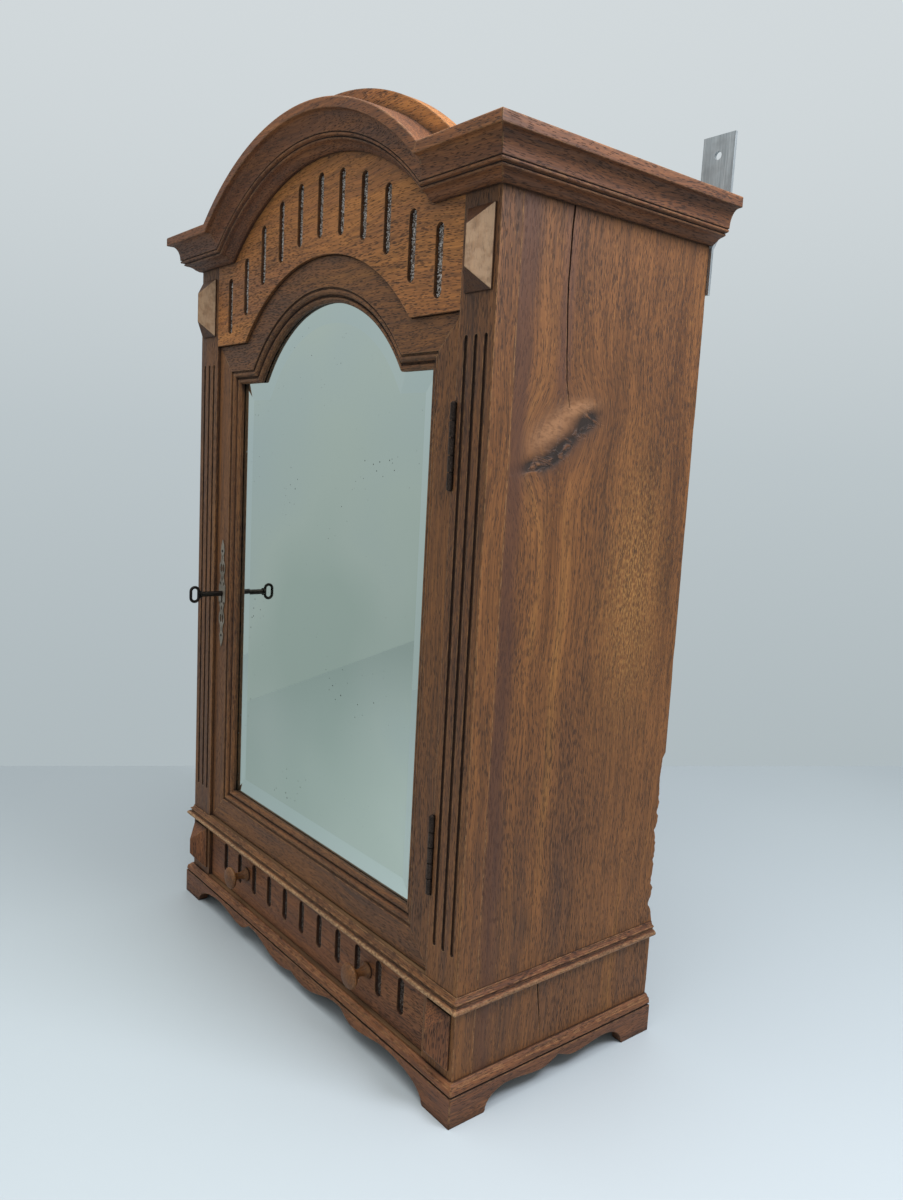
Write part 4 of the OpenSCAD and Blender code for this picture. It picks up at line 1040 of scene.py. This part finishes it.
def makeEscutcheon():
    low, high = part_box("escutcheon")
    centreX, centreZ = (low.x + high.x) / 2, (low.z + high.z) / 2
    limit = (high.x - low.x) / 2 / mm - 0.02
    half = (high.z - low.z) / 2 / mm
    widths = escutcheonPlate["widths"]

    def widthAt(t):
        for (a, wa), (b, wb) in zip(widths, widths[1:]):
            if a <= t <= b:
                k = (1 - math.cos(math.pi * (t - a) / (b - a))) / 2
                return min(limit, wa + (wb - wa) * k)
        return widths[-1][1]

    count = escutcheonPlate["rows"]
    rows = [half * n / count for n in range(-count, count + 1)]
    last = escutcheonPlate["half"]
    outline = [(widthAt(min(abs(t), last)), t) for t in rows]
    outline += [(-widthAt(min(abs(t), last)), t) for t in reversed(rows)]
    holes = []
    for cz, wide, tall, cx in escutcheonPlate["holes"]:
        for sign in (1, -1):
            turns = [math.pi * 2 * n / 14 for n in range(14)]
            holes.append([(cx + wide * math.cos(a), sign * cz + tall * math.sin(a)) for a in turns])
    slot = []
    for a in (math.pi * 2 * n / 20 for n in range(20)):
        drop = 0 if math.sin(a) > -0.2 else -escutcheonPlate["slotDrop"]
        slot.append(
            (escutcheonPlate["slotWide"] * math.cos(a), drop + escutcheonPlate["slotTall"] * math.sin(a)),
        )
    curve = bpy.data.curves.new("piercedEscutcheon", "CURVE")
    curve.dimensions = "2D"
    curve.fill_mode = "BOTH"
    curve.extrude = (high.y - low.y) / 2 - 0.15 * mm
    curve.bevel_depth = escutcheonPlate["edge"]
    curve.offset = -escutcheonPlate["edge"]
    for loop in [outline] + holes + [slot]:
        spline = curve.splines.new("POLY")
        spline.points.add(len(loop) - 1)
        for point, (x, z) in zip(spline.points, loop):
            point.co = (x * mm, z * mm, 0, 1)
        spline.use_cyclic_u = True
    holder = bpy.data.objects.new("escutcheonCurve", curve)
    bpy.context.scene.collection.objects.link(holder)
    mesh = bpy.data.meshes.new_from_object(holder.evaluated_get(bpy.context.evaluated_depsgraph_get()))
    bpy.data.objects.remove(holder)
    mesh.transform(Matrix.Rotation(math.radians(90), 4, "X"))
    mesh.transform(Matrix.Translation((centreX, (low.y + high.y) / 2, centreZ)))
    shape = bmesh.new()
    shape.from_mesh(mesh)
    bmesh.ops.remove_doubles(shape, verts=shape.verts, dist=1e-6)
    bmesh.ops.recalc_face_normals(shape, faces=shape.faces)
    shape.to_mesh(mesh)
    shape.free()
    mesh.name = "piercedEscutcheon"
    addPiece("piercedEscutcheon", mesh, patinatedBrass, "door", "escutcheon")


makeEscutcheon()
print("escutcheon made")

# Floor: pale, matt, unbroken; it ends at the wall line and the soft studio surround goes on above it.
floorPlate = {"corners": [(-638.6, -59.6), (0.4915, 0.8709)], "colour": "#c3cbcf", "reach": 6.0}


def makeFloor():
    (px, py), (dx, dy) = floorPlate["corners"]
    start = Vector((px * mm, py * mm + caseFront, 0))
    run = Vector((dx, dy, 0))
    side = Vector((dy, -dx, 0))
    reach = floorPlate["reach"]
    corners = [
        start - run * reach, start + run * reach, start + run * reach + side * reach,
        start - run * reach + side * reach,
    ]
    mesh = bpy.data.meshes.new("paleFloor")
    mesh.from_pydata([tuple(c) for c in corners], [], [(0, 3, 2, 1)])
    floor = bpy.data.objects.new("paleFloor", mesh)
    bpy.context.scene.collection.objects.link(floor)
    material, tree, surface = newMaterial("paleMattFloor")
    coord = addNode(tree, "ShaderNodeTexCoord").outputs["Object"]
    tint = addNode(tree, "ShaderNodeTexNoise", {"Vector": coord, "Scale": 1.2, "Detail": 2.0}).outputs[0]
    base = addNode(tree, "ShaderNodeValToRGB", {0: tint}, stops=[(0.4, "#a5adb1"), (0.6, "#aab2b5")]).outputs[0]
    # painted light: the floor is painted lighter towards the camera side and darker towards the wall line, as the light
    # falls off
    away = addNode(tree, "ShaderNodeVectorMath", {0: coord, 1: (dy, -dx, 0)}, operation="DOT_PRODUCT").outputs["Value"]
    base = addNode(tree, "ShaderNodeMix", {
        0: addNode(tree, "ShaderNodeMapRange", {0: away, 1: -0.5, 2: 0.6}, interpolation_type="SMOOTHSTEP").outputs[0],
        6: base,
        7: linear("#bac1c4"),
    }, data_type="RGBA").outputs[2]
    tree.links.new(base, surface.inputs["Base Color"])
    surface.inputs["Roughness"].default_value = 0.55
    mesh.materials.append(material)


makeFloor()


# Soft even light all round, with broad lamps above and at the right front.
def addLamp(name, place, target, size, power, colour):
    lamp = bpy.data.lights.new(name, "AREA")
    lamp.shape = "RECTANGLE"
    lamp.size, lamp.size_y = size
    lamp.energy = power
    lamp.color = linear(colour)[:3]
    holder = bpy.data.objects.new(name, lamp)
    bpy.context.scene.collection.objects.link(holder)
    holder.location = place
    holder.rotation_euler = (Vector(target) - Vector(place)).to_track_quat("-Z", "Y").to_euler()


lamps = {
    "topLamp": dict(place=(0.25, -0.4, 1.6), target=(0, 0, 0.35), size=(1.1, 1.1), power=16, colour="#ffffff"),
    "rightLamp": dict(
        place=(0.72, 0.12, 0.98), target=(0.19, 0, 0.56), size=(0.34, 0.34), power=8.5, colour="#f1f5ff",
    ),
}
for name, settings in lamps.items():
    addLamp(name, **settings)
world = bpy.data.worlds.new("softSurround")
bpy.context.scene.world = world
world.use_nodes = True
worldTree = world.node_tree
worldTree.nodes.clear()
direction = addNode(worldTree, "ShaderNodeTexCoord").outputs["Generated"]
upness = addNode(worldTree, "ShaderNodeSeparateXYZ", {0: direction}).outputs[2]
surround = addNode(worldTree, "ShaderNodeValToRGB", {
    0: addNode(worldTree, "ShaderNodeMapRange", {
        0: upness,
        1: -0.35,
        2: 0.45,
    }, interpolation_type="SMOOTHSTEP").outputs[0],
}, stops=[(0.0, "#b6c1c5"), (0.45, "#c3cdd1"), (1.0, "#dae1e4")]).outputs[0]
background = addNode(worldTree, "ShaderNodeBackground", {"Color": surround, "Strength": 0.92})
addNode(worldTree, "ShaderNodeOutputWorld", {"Surface": background.outputs[0]})

# Camera: a lens of about 28 mm on the long side, a little above the middle, looking down and turned slightly.
view = {"place": (591.7, -346.5, 398.2), "azimuth": 50.92, "down": 7.95, "roll": 3.04, "lens": 28.308}


def makeCamera():
    az, down, roll = (math.radians(view[k]) for k in ("azimuth", "down", "roll"))
    forward = Vector((-math.sin(az) * math.cos(down), math.cos(az) * math.cos(down), -math.sin(down)))
    right = Vector((math.cos(az), math.sin(az), 0))
    up = right.cross(forward)
    turnedRight = right * math.cos(roll) + up * math.sin(roll)
    turnedUp = -right * math.sin(roll) + up * math.cos(roll)
    data = bpy.data.cameras.new("portraitCamera")
    data.sensor_width = 36
    data.lens = view["lens"]
    data.clip_start = 0.01
    camera = bpy.data.objects.new("portraitCamera", data)
    bpy.context.scene.collection.objects.link(camera)
    place = Vector((view["place"][0] * mm, view["place"][1] * mm + caseFront, view["place"][2] * mm))
    axes = Matrix((turnedRight, turnedUp, -forward)).transposed().to_4x4()
    camera.matrix_world = Matrix.Translation(place) @ axes
    bpy.context.scene.camera = camera


makeCamera()
bpy.context.scene.view_settings.view_transform = "Standard"
print("stage, lamps and camera set")
